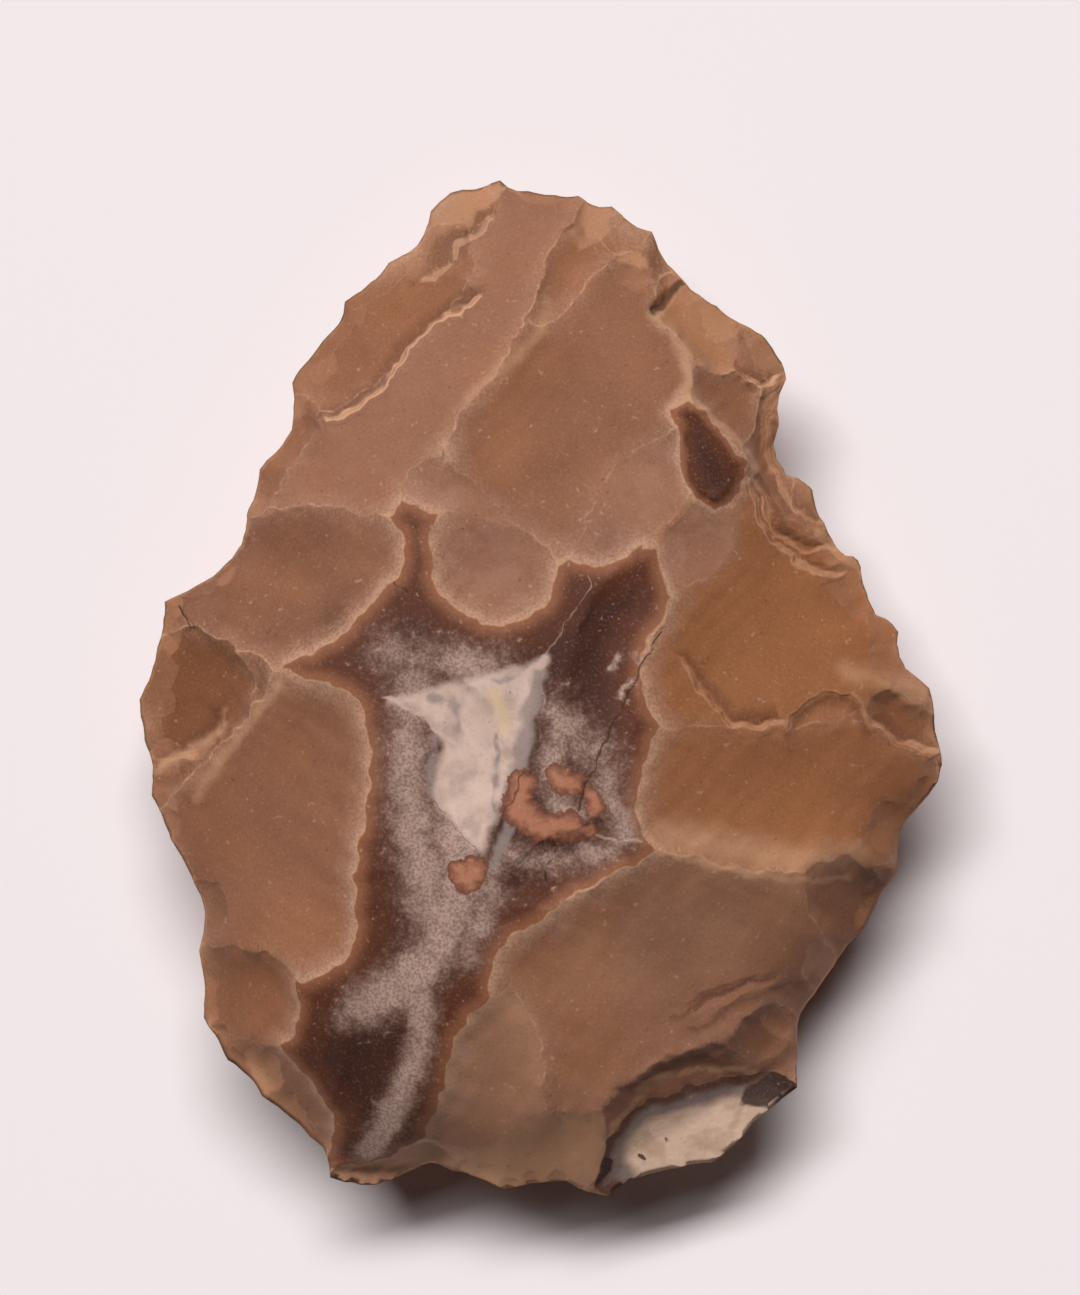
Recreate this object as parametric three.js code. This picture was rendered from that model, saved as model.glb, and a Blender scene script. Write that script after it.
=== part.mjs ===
// Stone hand axe: a flint biface, flaked on both faces, lying on its plainer face with its
// tip towards +Y. One closed solid in millimetres, +Z up, with the origin under the middle
// of its bounding box, on the surface that it rests on.
import * as THREE from 'three';

// ---- Driving dimensions, in millimetres ----------------------------------------------------
const EDGE_PLANE = 14.1; // mean height of the worked edge above the resting facet
const CREST_RISE = 16.5; // unflaked upper face above the edge plane
const BELLY_DROP = 14; // unflaked lower face below it, before the resting facet is cut flat
const TIP_THINNING = 0.004; // share of the rise lost for each millimetre towards the tip
const LEAST_SHARE = 0.3; // no flake scar cuts deeper than this share of the face's own rise
const EDGE_PULL = 14; // how closely the faces hold their own form before they bend to the edge

// How finely each face is divided: rings from the middle to the edge, points on a full ring.
const UPPER_MESH = { rings: 30, around: 196 };
const LOWER_MESH = { rings: 16, around: 104 };
const POINTS_PER_FLAKE = 3; // points on each bite of the worked edge

// ---- The worked edge -----------------------------------------------------------------------
// Clockwise from the tip: the corners between edge flakes as [x, y, bite]. The bite is how far
// the flake from this corner to the next one hollows the edge; below zero the edge bulges.
const EDGE = {
  tip: [[-4.4, 56, 0.5], [-1.3, 54.8, 0.1], [4.2, 54.2, 0.3], [7.9, 53, 0.3]],
  rightShoulder: [[12.3, 50.2, 0.4], [15.4, 45.1, 0.3], [19.4, 42, 0.2], [24.4, 38.9, -0.5]],
  notch: [[27.1, 34, 0.5], [26.3, 28.9, 0.9], [27.1, 23.5, -0.3], [30, 21.8, 0.3]],
  rightUpper: [[31.6, 17.6, 0.2], [33.7, 14.6, -0.4], [35.5, 13.4, 0.3], [37, 8.1, -0.3]],
  rightBulge: [[39.6, 6.2, 0.5], [40.3, 2.2, -0.1], [42.9, 0, 0.1], [44.3, -8.5, -0.2]],
  rightLower: [[42.9, -11.8, 0.2], [40.4, -14.7, 0.3], [39.3, -20.2, 0.2], [36.1, -26.2, 0.3]],
  rightHeel: [[32.6, -31, 0.1], [29.5, -35, 0.3], [28.5, -38.7, 0.1], [28.3, -44, 0.1]],
  cortexEnd: [[23.8, -47.7, -0.2], [18.9, -52.4, 0.2], [12.1, -53.5, 0.4], [7.3, -56, -0.3]],
  butt: [[2.9, -54.2, 0.2], [-4, -55.2, 0.3], [-10.3, -53, 0.3], [-13.2, -52.8, -0.1]],
  leftHeel: [[-18, -54.8, -0.3], [-23.1, -53.9, 0.2], [-24, -50.8, 0.3], [-30.6, -44.9, 0.3]],
  leftLower: [[-34.3, -40.9, 0.2], [-37, -36.3, 0.3], [-37.4, -28.8, 0.5], [-37.4, -22.8, 0.3]],
  leftMiddle: [[-40.5, -16.5, 0.2], [-42.9, -11.9, 0.3], [-43.2, -7, -0.1], [-44.3, -1.3, 0.3]],
  leftUpper: [[-42, 5.3, 0.2], [-41.4, 9.5, 0.5], [-33.9, 14.3, 0.5], [-32.3, 19.1, 0.2]],
  leftShoulder: [[-31, 24.2, 0.3], [-27.5, 28.6, 0.3], [-27.4, 33.7, -0.3], [-22.9, 39.4, 0.3]],
  leftTip: [[-21.6, 42.7, 0.3], [-16.7, 46.9, 0.2], [-13.6, 49.1, 0.3], [-12.1, 52.8, -0.3],
    [-8.6, 55.2, 0.2]],
};

// Rise and fall of the edge along its way round: [waves per turn, height, phase].
const EDGE_WAVES = [[2, 0.9, 0.6], [5, 0.6, 1.9], [11, 0.35, 0.4]];

// ---- Flake scars ---------------------------------------------------------------------------
// Each scar is a shallow bowl with a rounded footprint: middle, turn in degrees, half length,
// half width and depth. A squarer footprint has more than 2.2, and a lip above 1 ends the bowl
// in a steeper step, as a hinged flake does.
function scar(x, y, turn, long, wide, deep, square = 2.2, lip = 1) {
  return { x, y, turn: THREE.MathUtils.degToRad(turn), long, wide, deep, square, lip };
}

const UPPER_SCARS = {
  // tip
  tipLong: scar(-12.8, 37, 53, 27.5, 9.5, 2.6, 2.6),
  tipStep: scar(-16.5, 40.3, 42, 14.3, 5.5, 3.8, 3, 2.4),
  tipChipUpper: scar(-11, 47.3, 40, 5.3, 3.5, 3.8, 2.2, 1.5),
  tipChipEnd: scar(-9.7, 52.4, 20, 5.3, 2.9, 3.8, 2.2, 1.2),
  tipChipRight: scar(7.9, 50.4, -30, 5.3, 3.1, 3.8, 2.2, 1.2),
  crown: scar(5.1, 33, 62, 20.4, 11.7, 3.2, 2.4),
  crownSide: scar(4.4, 45.8, 58, 12.1, 4, 2.9),
  leftStrip: scar(-28.8, 26.7, 58, 9.3, 3.7, 3.8, 2.2, 1.2),
  // middle
  saddle: scar(8.8, 21.6, 50, 9.5, 5.9, 2.2),
  saddleLow: scar(17.9, 15.7, 50, 7, 4.2, 2),
  neck: scar(-5.9, 19.8, -20, 11, 3.5, 1.8),
  round: scar(-5.3, 13.5, 0, 6.7, 6.9, 2.2),
  // right side
  shoulderHigh: scar(17.8, 39.9, -45, 7, 4.8, 4.2, 2.8, 1.8),
  shoulderEdge: scar(23.9, 37.2, -50, 5.7, 4.6, 4.6, 2.2, 1.2),
  shoulderLow: scar(21.1, 31.9, -40, 7, 3.9, 4, 2.4, 1.2),
  notch: scar(30.2, 24.9, -62, 11.4, 6.8, 6.2, 2.2, 2),
  notchStep: scar(32.5, 20.1, -52, 9.3, 5.5, 7, 2.2, 2),
  rightUpper: scar(27.7, 6.2, 67, 18.4, 13.6, 3.4, 3),
  rightLower: scar(27.5, -10.3, 0, 16.3, 10.8, 3.8, 2.4),
  rightChip: scar(39, -3.3, -20, 5.3, 3.1, 4.4, 2.2, 1.2),
  rightHeel: scar(34.3, -25, -60, 7.7, 5.1, 3.8, 2.2, 1.2),
  // butt
  lowerRight: scar(15.8, -31.9, 22, 18.2, 13.4, 3.4, 4),
  lowerMiddle: scar(0, -50.6, 10, 11.5, 6, 3.2),
  lowerStrip: scar(-4.4, -42.2, 66, 17, 5.4, 1.8, 2.6),
  lowerChip: scar(24.8, -37.6, 20, 5.1, 4.4, 4.6, 2.2, 1.2),
  cortexRim: scar(18.9, -46.6, 22, 13.8, 8.6, 4.2, 2.4, 3),
  cortexFace: scar(18.3, -48.6, 24, 13.4, 7.7, 5.4, 2.4, 2.6),
  buttLeft: scar(-19.1, -54.6, 0, 6.4, 2.9, 3.8, 2.2, 1.2),
  buttMiddle: scar(-8.6, -53.2, -8, 8.6, 3.3, 4.2, 2.2, 1.2),
  // left side
  leftMiddle: scar(-30.1, 11, 28, 15.6, 8.8, 3.2, 2.6),
  leftRound: scar(-38.5, -2, 52, 12.1, 7.9, 3.6, 2.6, 1.2),
  leftLip: scar(-38.7, -1.3, 38, 9.5, 7.3, 4.6, 2.2, 2.2),
  leftBig: scar(-30.4, -13.9, 86, 16.5, 11.8, 3.4, 3.8),
  leftLow: scar(-33, -33.8, 0, 7.3, 6.6, 3.6),
  leftFoot: scar(-31.2, -44, -50, 10.1, 6.4, 3.4),
  // old facets left on the unflaked core
  corePale: scar(-8.6, -6.6, -68, 10.8, 4.8, 1.3),
  coreGrey: scar(-12.7, -18.9, 80, 16.5, 4.4, 0.9),
  coreEast: scar(7.9, 3.1, 72, 12.1, 4.2, 1.1),
  coreVault: scar(2.8, -18.4, 20, 7.9, 3.3, 1),
  coreFoot: scar(-18.1, -43.1, 70, 8.8, 4, 1),
  coreDark: scar(18.9, 25.6, -70, 5.5, 3.5, 0.5),
};

const LOWER_SCARS = {
  tip: scar(-3, 41, 84, 19, 11, 3.8, 2.4),
  tipLeft: scar(-20, 33, 46, 15, 9, 4.2, 2.4),
  tipRight: scar(14, 35, -44, 17, 10, 4.2, 2.4),
  rightHigh: scar(27, 15, -16, 18, 12, 4.4, 2.4),
  rightMiddle: scar(32, -8, 8, 17, 12, 4.8, 2.6),
  rightLow: scar(26, -30, 34, 17, 11, 4.4, 2.4),
  butt: scar(4, -45, 86, 16, 13, 4.6, 2.4),
  leftLow: scar(-22, -39, -36, 17, 11, 4.4, 2.4),
  leftMiddle: scar(-34, -16, -6, 18, 12, 4.8, 2.6),
  leftHigh: scar(-32, 8, 18, 17, 11, 4.4, 2.4),
  bellyStep: scar(-9, 17, -70, 14, 7, 1.6, 2.4, 1.6),
  chipRight: scar(41, -2, 70, 6, 3.5, 5.4, 2.2, 1.4),
  chipHeel: scar(34, -24, 60, 7, 3.6, 5.2, 2.2, 1.4),
  chipLeft: scar(-39, -22, 80, 7, 3.4, 5.4, 2.2, 1.4),
  chipShoulder: scar(-28, 27, 58, 7, 3.4, 5, 2.2, 1.4),
};

// A slow sideways wander that keeps ridges from running as drawn curves. Each wave is
// [reach in millimetres, radians per millimetre along x, the same along y, phase].
const WANDER_X = [[0.55, 0, 0.3, 0.4], [0.3, 0.53, 0.38, 1.1]];
const WANDER_Y = [[0.55, 0.27, 0, 2], [0.3, 0.43, -0.56, 0.3]];

function waveSum(waves, x, y) {
  return waves.reduce(
    (sum, [reach, alongX, alongY, phase]) => sum + reach * Math.sin(alongX * x + alongY * y + phase), 0);
}

function wander(x, y) {
  return [x + waveSum(WANDER_X, x, y), y + waveSum(WANDER_Y, x, y)];
}

// ---- Outline in polar form -----------------------------------------------------------------
function edgeOutline() {
  const corners = Object.values(EDGE).flat();
  const points = [];
  corners.forEach(([x, y, bite], i) => {
    const [nextX, nextY] = corners[(i + 1) % corners.length];
    const [alongX, alongY] = [nextX - x, nextY - y];
    const length = Math.hypot(alongX, alongY);
    for (let k = 0; k < POINTS_PER_FLAKE; k += 1) {
      const share = k / POINTS_PER_FLAKE;
      const inward = 4 * share * (1 - share) * bite;
      const px = x + alongX * share + (alongY / length) * inward;
      const py = y + alongY * share - (alongX / length) * inward;
      points.push({ x: px, y: py, angle: Math.atan2(py, px), radius: Math.hypot(px, py) });
    }
  });
  return points.sort((a, b) => a.angle - b.angle);
}

const OUTLINE = edgeOutline();
const TURN = 2 * Math.PI;

// Distance from the middle to the edge in a direction.
function edgeRadius(angle) {
  const last = OUTLINE.length - 1;
  let next = OUTLINE.findIndex((point) => point.angle > angle);
  if (next < 0) next = 0;
  const before = OUTLINE[next === 0 ? last : next - 1];
  const after = OUTLINE[next];
  const span = (after.angle - before.angle + TURN) % TURN;
  const share = ((angle - before.angle + TURN) % TURN) / span;
  return THREE.MathUtils.lerp(before.radius, after.radius, share);
}

// The same distance averaged over a wide angle, so that the faces swell without the edge's
// small bites.
const SMOOTH_STEPS = 360;
const SMOOTH_REACH = 25;
const SMOOTH_RADII = Array.from({ length: SMOOTH_STEPS }, (_, step) => {
  let sum = 0;
  let total = 0;
  for (let k = -SMOOTH_REACH; k <= SMOOTH_REACH; k += 1) {
    const weight = Math.cos((k / SMOOTH_REACH) * (Math.PI / 2)) ** 2;
    sum += weight * edgeRadius(((step + k) / SMOOTH_STEPS) * TURN - Math.PI);
    total += weight;
  }
  return sum / total;
});

function smoothRadius(angle) {
  const place = ((angle + Math.PI) / TURN) * SMOOTH_STEPS;
  const low = Math.floor(place);
  const at = (step) => SMOOTH_RADII[((step % SMOOTH_STEPS) + SMOOTH_STEPS) % SMOOTH_STEPS];
  return THREE.MathUtils.lerp(at(low), at(low + 1), place - low);
}

function edgeHeight(angle) {
  return EDGE_WAVES.reduce(
    (sum, [waves, height, phase]) => sum + height * Math.sin(waves * angle + phase), 0);
}

// ---- Faces ---------------------------------------------------------------------------------
const UPPER = { scars: Object.values(UPPER_SCARS), rise: CREST_RISE, side: 1 };
const LOWER = { scars: Object.values(LOWER_SCARS), rise: BELLY_DROP, side: -1 };

// The unflaked swell of a face above the edge plane: flat in the middle, falling ever steeper
// towards a rim a little beyond the edge.
const SWELL_REACH = 1.06;
const SWELL_FLATNESS = 2.6;
const SWELL_FALL = 0.75;
const SWELL_RIM = 0.999;

function swell(face, x, y) {
  const share = Math.hypot(x, y) / (smoothRadius(Math.atan2(y, x)) * SWELL_REACH);
  const bulk = face.rise * (1 - TIP_THINNING * y);
  return bulk * (1 - Math.min(share, SWELL_RIM) ** SWELL_FLATNESS) ** SWELL_FALL;
}

// How deep one scar cuts at a place; below zero outside its footprint.
function cutDepth(flake, x, y) {
  const [dx, dy] = [x - flake.x, y - flake.y];
  const along = (dx * Math.cos(flake.turn) + dy * Math.sin(flake.turn)) / flake.long;
  const across = (dy * Math.cos(flake.turn) - dx * Math.sin(flake.turn)) / flake.wide;
  const out = Math.abs(along) ** flake.square + Math.abs(across) ** flake.square;
  return flake.deep * (1 - out ** ((2 * flake.lip) / flake.square));
}

// The cuts of every scar at a place, with 0 for the unflaked surface as the last one.
function cutsAt(face, x, y) {
  const [wx, wy] = wander(x, y);
  return [...face.scars.map((flake) => cutDepth(flake, wx, wy)), 0];
}

// Height above the resting surface, before the lower face is cut flat.
function rawHeight(face, x, y) {
  const angle = Math.atan2(y, x);
  const full = swell(face, x, y);
  const flaked = Math.max(full - Math.max(...cutsAt(face, x, y)), LEAST_SHARE * full);
  const pull = Math.min(Math.hypot(x, y) / edgeRadius(angle), 1) ** EDGE_PULL;
  return EDGE_PLANE + (1 - pull) * face.side * flaked + pull * edgeHeight(angle);
}

function height(face, x, y) {
  return Math.max(rawHeight(face, x, y), 0);
}

// The two deepest cuts at a place share a ridge where they are equal.
function ridgeGap(face, x, y) {
  const cuts = cutsAt(face, x, y);
  const order = cuts.map((_, i) => i).sort((a, b) => cuts[b] - cuts[a]);
  return (px, py) => {
    const here = cutsAt(face, px, py);
    return here[order[0]] - here[order[1]];
  };
}

// Moves a point onto the line where a function is zero, if that line is within reach.
const PROBE = 0.05;
const SETTLE_STEPS = 3;
const LEVEL = 1e-6;

function settle(point, gap, reach) {
  let { x, y } = point;
  for (let step = 0; step < SETTLE_STEPS; step += 1) {
    const value = gap(x, y);
    const slopeX = (gap(x + PROBE, y) - gap(x - PROBE, y)) / (2 * PROBE);
    const slopeY = (gap(x, y + PROBE) - gap(x, y - PROBE)) / (2 * PROBE);
    const steepness = slopeX ** 2 + slopeY ** 2;
    if (steepness < LEVEL) return point;
    x -= (value * slopeX) / steepness;
    y -= (value * slopeY) / steepness;
  }
  return Math.hypot(x - point.x, y - point.y) < reach ? { x, y } : point;
}

// ---- Mesh ----------------------------------------------------------------------------------
const RING_PULL = 4; // how quickly the rings lose the edge's bites on their way in
const LEAST_AROUND = 6; // points on the innermost ring
const SETTLE_SHARE = 0.3; // how far a point moves onto a ridge, as a share of the ring distance

// One ring of a face: the outline drawn in towards the middle, with fewer points as it shrinks.
function ring(share, count, turned) {
  return Array.from({ length: count }, (_, i) => {
    const angle = ((i + turned) / count) * TURN - Math.PI;
    const smooth = smoothRadius(angle);
    const radius = share * (smooth + (edgeRadius(angle) - smooth) * share ** RING_PULL);
    return { x: radius * Math.cos(angle), y: radius * Math.sin(angle) };
  });
}

// Joins an outer and an inner ring with triangles, always across the shorter diagonal.
function joinRings(outer, inner, points, triangle) {
  const apart = (a, b) => Math.hypot(points[a].x - points[b].x, points[a].y - points[b].y);
  let [i, j] = [0, 0];
  while (i < outer.length || j < inner.length) {
    const [a, b] = [outer[i % outer.length], inner[j % inner.length]];
    const [nextA, nextB] = [outer[(i + 1) % outer.length], inner[(j + 1) % inner.length]];
    const canOuter = i < outer.length;
    const canInner = j < inner.length;
    if (canOuter && (!canInner || apart(nextA, b) <= apart(a, nextB))) {
      triangle(a, nextA, b);
      i += 1;
    } else {
      triangle(a, nextB, b);
      j += 1;
    }
  }
}

const points = OUTLINE.map(({ x, y, angle }) => ({ x, y, z: EDGE_PLANE + edgeHeight(angle) }));
const edgeLoop = points.map((_, i) => i);
const faces = [];

function addFace(face, { rings, around }) {
  const triangle = face.side > 0
    ? (a, b, c) => faces.push(a, b, c)
    : (a, b, c) => faces.push(a, c, b);
  const reach = (SETTLE_SHARE * Math.max(...SMOOTH_RADII)) / rings;
  let outer = edgeLoop;
  for (let k = rings - 1; k > 0; k -= 1) {
    const share = k / rings;
    const count = Math.max(LEAST_AROUND, Math.round(around * share));
    const inner = ring(share, count, (k % 2) / 2).map((point) => {
      const onRidge = settle(point, ridgeGap(face, point.x, point.y), reach);
      const onFacet = face.side < 0
        ? settle(onRidge, (x, y) => rawHeight(face, x, y), reach)
        : onRidge;
      return points.push({ ...onFacet, z: height(face, onFacet.x, onFacet.y) }) - 1;
    });
    joinRings(outer, inner, points, triangle);
    outer = inner;
  }
  const middle = points.push({ x: 0, y: 0, z: height(face, 0, 0) }) - 1;
  outer.forEach((a, i) => triangle(a, outer[(i + 1) % outer.length], middle));
}

addFace(UPPER, UPPER_MESH);
addFace(LOWER, LOWER_MESH);

const geometry = new THREE.BufferGeometry();
const positions = points.flatMap(({ x, y, z }) => [x, y, z]);
geometry.setAttribute('position', new THREE.Float32BufferAttribute(positions, 3));
geometry.setIndex(faces);
geometry.computeVertexNormals();

const flint = new THREE.MeshStandardMaterial({ color: '#8e6049', roughness: 0.5, metalness: 0 });
const handAxe = new THREE.Mesh(geometry, flint);
handAxe.name = 'hand_axe';

const part = new THREE.Group();
part.add(handAxe);
export default part;
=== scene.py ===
import math

import bpy
import numpy as np
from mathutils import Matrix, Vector, kdtree


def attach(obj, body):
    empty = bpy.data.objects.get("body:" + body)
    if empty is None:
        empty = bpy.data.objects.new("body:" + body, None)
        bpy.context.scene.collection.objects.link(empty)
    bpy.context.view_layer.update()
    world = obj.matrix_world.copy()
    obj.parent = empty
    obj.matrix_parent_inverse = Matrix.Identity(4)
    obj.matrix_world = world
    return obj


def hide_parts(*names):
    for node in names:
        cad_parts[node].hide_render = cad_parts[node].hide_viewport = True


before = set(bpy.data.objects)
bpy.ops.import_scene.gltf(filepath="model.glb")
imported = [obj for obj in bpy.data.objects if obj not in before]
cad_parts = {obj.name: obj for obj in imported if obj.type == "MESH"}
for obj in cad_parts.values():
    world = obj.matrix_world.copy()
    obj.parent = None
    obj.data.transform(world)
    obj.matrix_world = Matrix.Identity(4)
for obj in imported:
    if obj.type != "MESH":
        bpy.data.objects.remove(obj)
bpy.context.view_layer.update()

MM = 0.001

# ---------------------------------------------------------------------------------------------
# The stone, in millimetres: the solid's edge, swell and flake scars, some scars a little eased
# ---------------------------------------------------------------------------------------------
EDGE_PLANE = 14.1  # the worked edge's height above the surface that the stone lies on
CREST_RISE = 16.5
BELLY_DROP = 14.0
TIP_THINNING = 0.004  # how much thinner each millimetre towards the tip is, as a share
LEAST_SHARE = 0.3  # whatever is cut away, this share of the swell is left
EDGE_PULL = 14  # the higher, the narrower the rim that bends to the edge line
SWELL_REACH = 1.06  # the swells meet this many edge radii out
SWELL_FLATNESS = 2.6  # the higher, the flatter the middle
SWELL_FALL = 0.75  # the lower, the steeper the rim
SWELL_RIM = 0.999  # the share of that reach past which the swell falls no further
POINTS_PER_FLAKE = 3
# The edge line's rise and fall: [waves round the stone, height, phase].
EDGE_WAVES = [(2, 0.9, 0.6), (5, 0.6, 1.9), (11, 0.35, 0.4)]
# Unevenness of every ridge: [reach, radians per millimetre along x and y, phase].
WANDER_X = [(0.55, 0, 0.3, 0.4), (0.3, 0.53, 0.38, 1.1)]
WANDER_Y = [(0.55, 0.27, 0, 2), (0.3, 0.43, -0.56, 0.3)]

# Corners between edge flakes, clockwise from the tip: x, y and how far the next flake bites in.
EDGE = {
    "tip": [(-4.4, 56, 0.5), (-1.3, 54.8, 0.1), (4.2, 54.2, 0.3), (7.9, 53, 0.3)],
    "right shoulder": [(12.3, 50.2, 0.4), (15.4, 45.1, 0.3), (19.4, 42, 0.2), (24.4, 38.9, -0.5)],
    "notch": [(27.1, 34, 0.5), (26.3, 28.9, 0.9), (27.1, 23.5, -0.3), (30, 21.8, 0.3)],
    "right upper": [(31.6, 17.6, 0.2), (33.7, 14.6, -0.4), (35.5, 13.4, 0.3), (37, 8.1, -0.3)],
    "right bulge": [(39.6, 6.2, 0.5), (40.3, 2.2, -0.1), (42.9, 0, 0.1), (44.3, -8.5, -0.2)],
    "right lower": [(42.9, -11.8, 0.2), (40.4, -14.7, 0.3), (39.3, -20.2, 0.2), (36.1, -26.2, 0.3)],
    "right heel": [(32.6, -31, 0.1), (29.5, -35, 0.3), (28.5, -38.7, 0.1), (28.3, -44, 0.1)],
    "cortex end": [(23.8, -47.7, -0.2), (18.9, -52.4, 0.2), (12.1, -53.5, 0.4), (7.3, -56, -0.3)],
    "butt": [(2.9, -54.2, 0.2), (-4, -55.2, 0.3), (-10.3, -53, 0.3), (-13.2, -52.8, -0.1)],
    "left heel": [(-18, -54.8, -0.3), (-23.1, -53.9, 0.2), (-24, -50.8, 0.3), (-30.6, -44.9, 0.3)],
    "left lower": [(-34.3, -40.9, 0.2), (-37, -36.3, 0.3), (-37.4, -28.8, 0.5), (-37.4, -22.8, 0.3)],
    "left middle": [(-40.5, -16.5, 0.2), (-42.9, -11.9, 0.3), (-43.2, -7, -0.1), (-44.3, -1.3, 0.3)],
    "left upper": [(-42, 5.3, 0.2), (-41.4, 9.5, 0.5), (-33.9, 14.3, 0.5), (-32.3, 19.1, 0.2)],
    "left shoulder": [(-31, 24.2, 0.3), (-27.5, 28.6, 0.3), (-27.4, 33.7, -0.3), (-22.9, 39.4, 0.3)],
    "left tip": [(-21.6, 42.7, 0.3), (-16.7, 46.9, 0.2), (-13.6, 49.1, 0.3), (-12.1, 52.8, -0.3),
                 (-8.6, 55.2, 0.2)],
}


def scar(x, y, turn, long, wide, deep, square=2.2, lip=1.0, tone=0.0, warmth=0.2, haze=0.0,
         line=1.0, old=False):
    """A flake scar: a bowl, with how light (tone), how orange (warmth) and how dusty (haze) it
    looks, and how clearly its ridges show as a pale line, partly a painted highlight. Tone is
    partly painted light and shade: lighter on scars turned from the lamps, darker on some facing
    them. An old one keeps the core's skin."""
    return dict(x=x, y=y, turn=math.radians(turn), long=long, wide=wide, deep=deep,
                square=square, lip=lip, tone=tone, warmth=warmth, haze=haze, line=line, old=old)


CORTEX_FACE = scar(18.3, -48.6, 24, 13.4, 7.7, 5.4, 2.4, 2.6, warmth=0.0, line=0.2)
UPPER_SCARS = [
    # tip
    scar(-12.8, 37, 53, 27.5, 9.5, 2.6, 2.6, tone=0.05, warmth=0.25, haze=0.35),
    scar(-16.5, 40.3, 42, 14.3, 5.5, 3.8, 3, 2.4, tone=-0.2, warmth=0.4, line=0.6),
    scar(-11, 47.3, 40, 5.3, 3.5, 3.8, 2.2, 1.5, tone=-0.4, warmth=0.35, line=0.6),
    scar(-9.7, 52.4, 20, 5.3, 2.9, 3.8, 2.2, 1.2, tone=0.25, warmth=0.45, line=0.5),
    scar(7.9, 50.4, -30, 5.3, 3.1, 3.8, 2.2, 1.2, tone=0.15, warmth=0.55, line=0.5),
    scar(5.1, 33, 62, 20.4, 11.7, 3.2, 2.4, tone=-0.25, warmth=0.3),
    scar(4.4, 45.8, 58, 12.1, 4, 2.9, tone=-0.12, warmth=0.35, line=0.8),
    scar(-28.8, 26.7, 58, 9.3, 3.7, 3.8, 2.2, 1.2, warmth=0.4, line=0.6),
    # middle
    scar(8.8, 21.6, 50, 9.5, 5.9, 1.6, tone=-0.25, warmth=0.0, haze=0.6, line=0.0),
    scar(17.9, 15.7, 50, 7, 4.2, 1.4, warmth=0.0, haze=0.9, line=0.0),
    scar(-5.9, 19.8, -20, 11, 3.5, 1.2, tone=-0.1, warmth=0.0, haze=0.6, line=0.0),
    scar(-5.3, 13.8, 0, 6.7, 6.5, 2.2, tone=-0.25, warmth=0.1, haze=0.55, line=0.5),
    # right side
    scar(17.8, 39.9, -45, 7, 4.8, 4.2, 2.8, 1.8, tone=0.55, warmth=0.5),
    scar(23.9, 37.2, -50, 5.7, 4.6, 4.6, 2.2, 1.2, tone=0.1, warmth=0.3, line=0.4),
    scar(21.1, 31.9, -40, 7, 3.9, 4, 2.4, 1.2, tone=-0.2, warmth=0.35),
    scar(30.2, 24.9, -62, 11.4, 6.8, 6.2, 2.2, 2, tone=0.1, warmth=0.35),
    scar(32.5, 20.1, -52, 9.3, 5.5, 7, 2.2, 2, tone=0.3, warmth=0.4, line=0.6),
    scar(27.7, 6.2, 67, 18.4, 14.2, 3.4, 3, tone=-0.35, warmth=0.8, line=0.35),
    scar(27, -10.3, 0, 16.7, 10.8, 3.8, 2.4, tone=0.05, warmth=0.75, line=0.45),
    scar(39, -3.7, -20, 5.3, 3.1, 3.4, 2.2, 1.0, tone=-0.1, warmth=0.6, line=0.6),
    scar(34.3, -25, -60, 7.7, 5.1, 3.8, 2.2, 1.2, tone=-0.2, warmth=0.3, line=0.4),
    # butt: the high tones here are painted light on scars turned from the lamps
    scar(14.7, -31.6, 22, 19.5, 13.6, 3.4, 4, tone=0.15, warmth=0.05, haze=0.35),
    scar(0, -50.6, 10, 11.5, 6, 2.4, tone=0.9, warmth=0.1, line=0.4),
    scar(-4.4, -42.2, 66, 17, 5.4, 1.8, 2.6, tone=0.5, warmth=0.05, haze=0.45, line=0.6),
    scar(24.8, -37.6, 20, 5.1, 4.4, 4.6, 2.2, 1.2, tone=-0.25, line=0.5),
    scar(18.9, -46.6, 22, 13.8, 8.6, 4.2, 2.4, 3, tone=-0.1, warmth=0.0, line=0.3),
    CORTEX_FACE,
    scar(-19.1, -54.6, 0, 6.4, 2.9, 3.8, 2.2, 1.2, tone=0.5, warmth=0.4, line=0.5),
    scar(-8.6, -53.2, -8, 8.6, 3.3, 2.6, 2.2, 1.2, tone=1.2, line=0.5),
    # left side
    scar(-30.1, 11, 28, 15.6, 8.8, 3.2, 2.6, tone=-0.38, warmth=0.1, haze=0.2),
    scar(-38.5, -2, 52, 12.1, 7.9, 3.6, 2.6, 1.2, tone=-0.7, warmth=0.4),
    scar(-38.7, -1.3, 38, 9.5, 7.3, 4.6, 2.2, 2.2, tone=-0.75, warmth=0.5, line=0.8),
    scar(-30.4, -13.9, 86, 16.5, 11.8, 3.4, 3.8, tone=-0.1, warmth=0.15, haze=0.1),
    scar(-33, -33.8, 0, 7.3, 6.6, 3.6, tone=-0.15, warmth=0.3, line=0.3),
    scar(-31.2, -44, -50, 10.1, 6.4, 3.4, tone=0.25, haze=0.1, line=0.5),
    # old facets left on the unflaked core
    scar(-8.6, -6.6, -68, 10.8, 4.8, 1.3, old=True),
    scar(-12.7, -18.9, 80, 16.5, 4.4, 0.9, old=True),
    scar(7.9, 3.1, 72, 12.1, 4.2, 1.1, old=True),
    scar(2.8, -18.4, 20, 7.9, 3.3, 1, old=True),
    scar(-18.1, -43.1, 70, 8.8, 4, 1, old=True),
    scar(18.9, 25.6, -70, 5.5, 3.5, 0.5, old=True),
]

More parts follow.
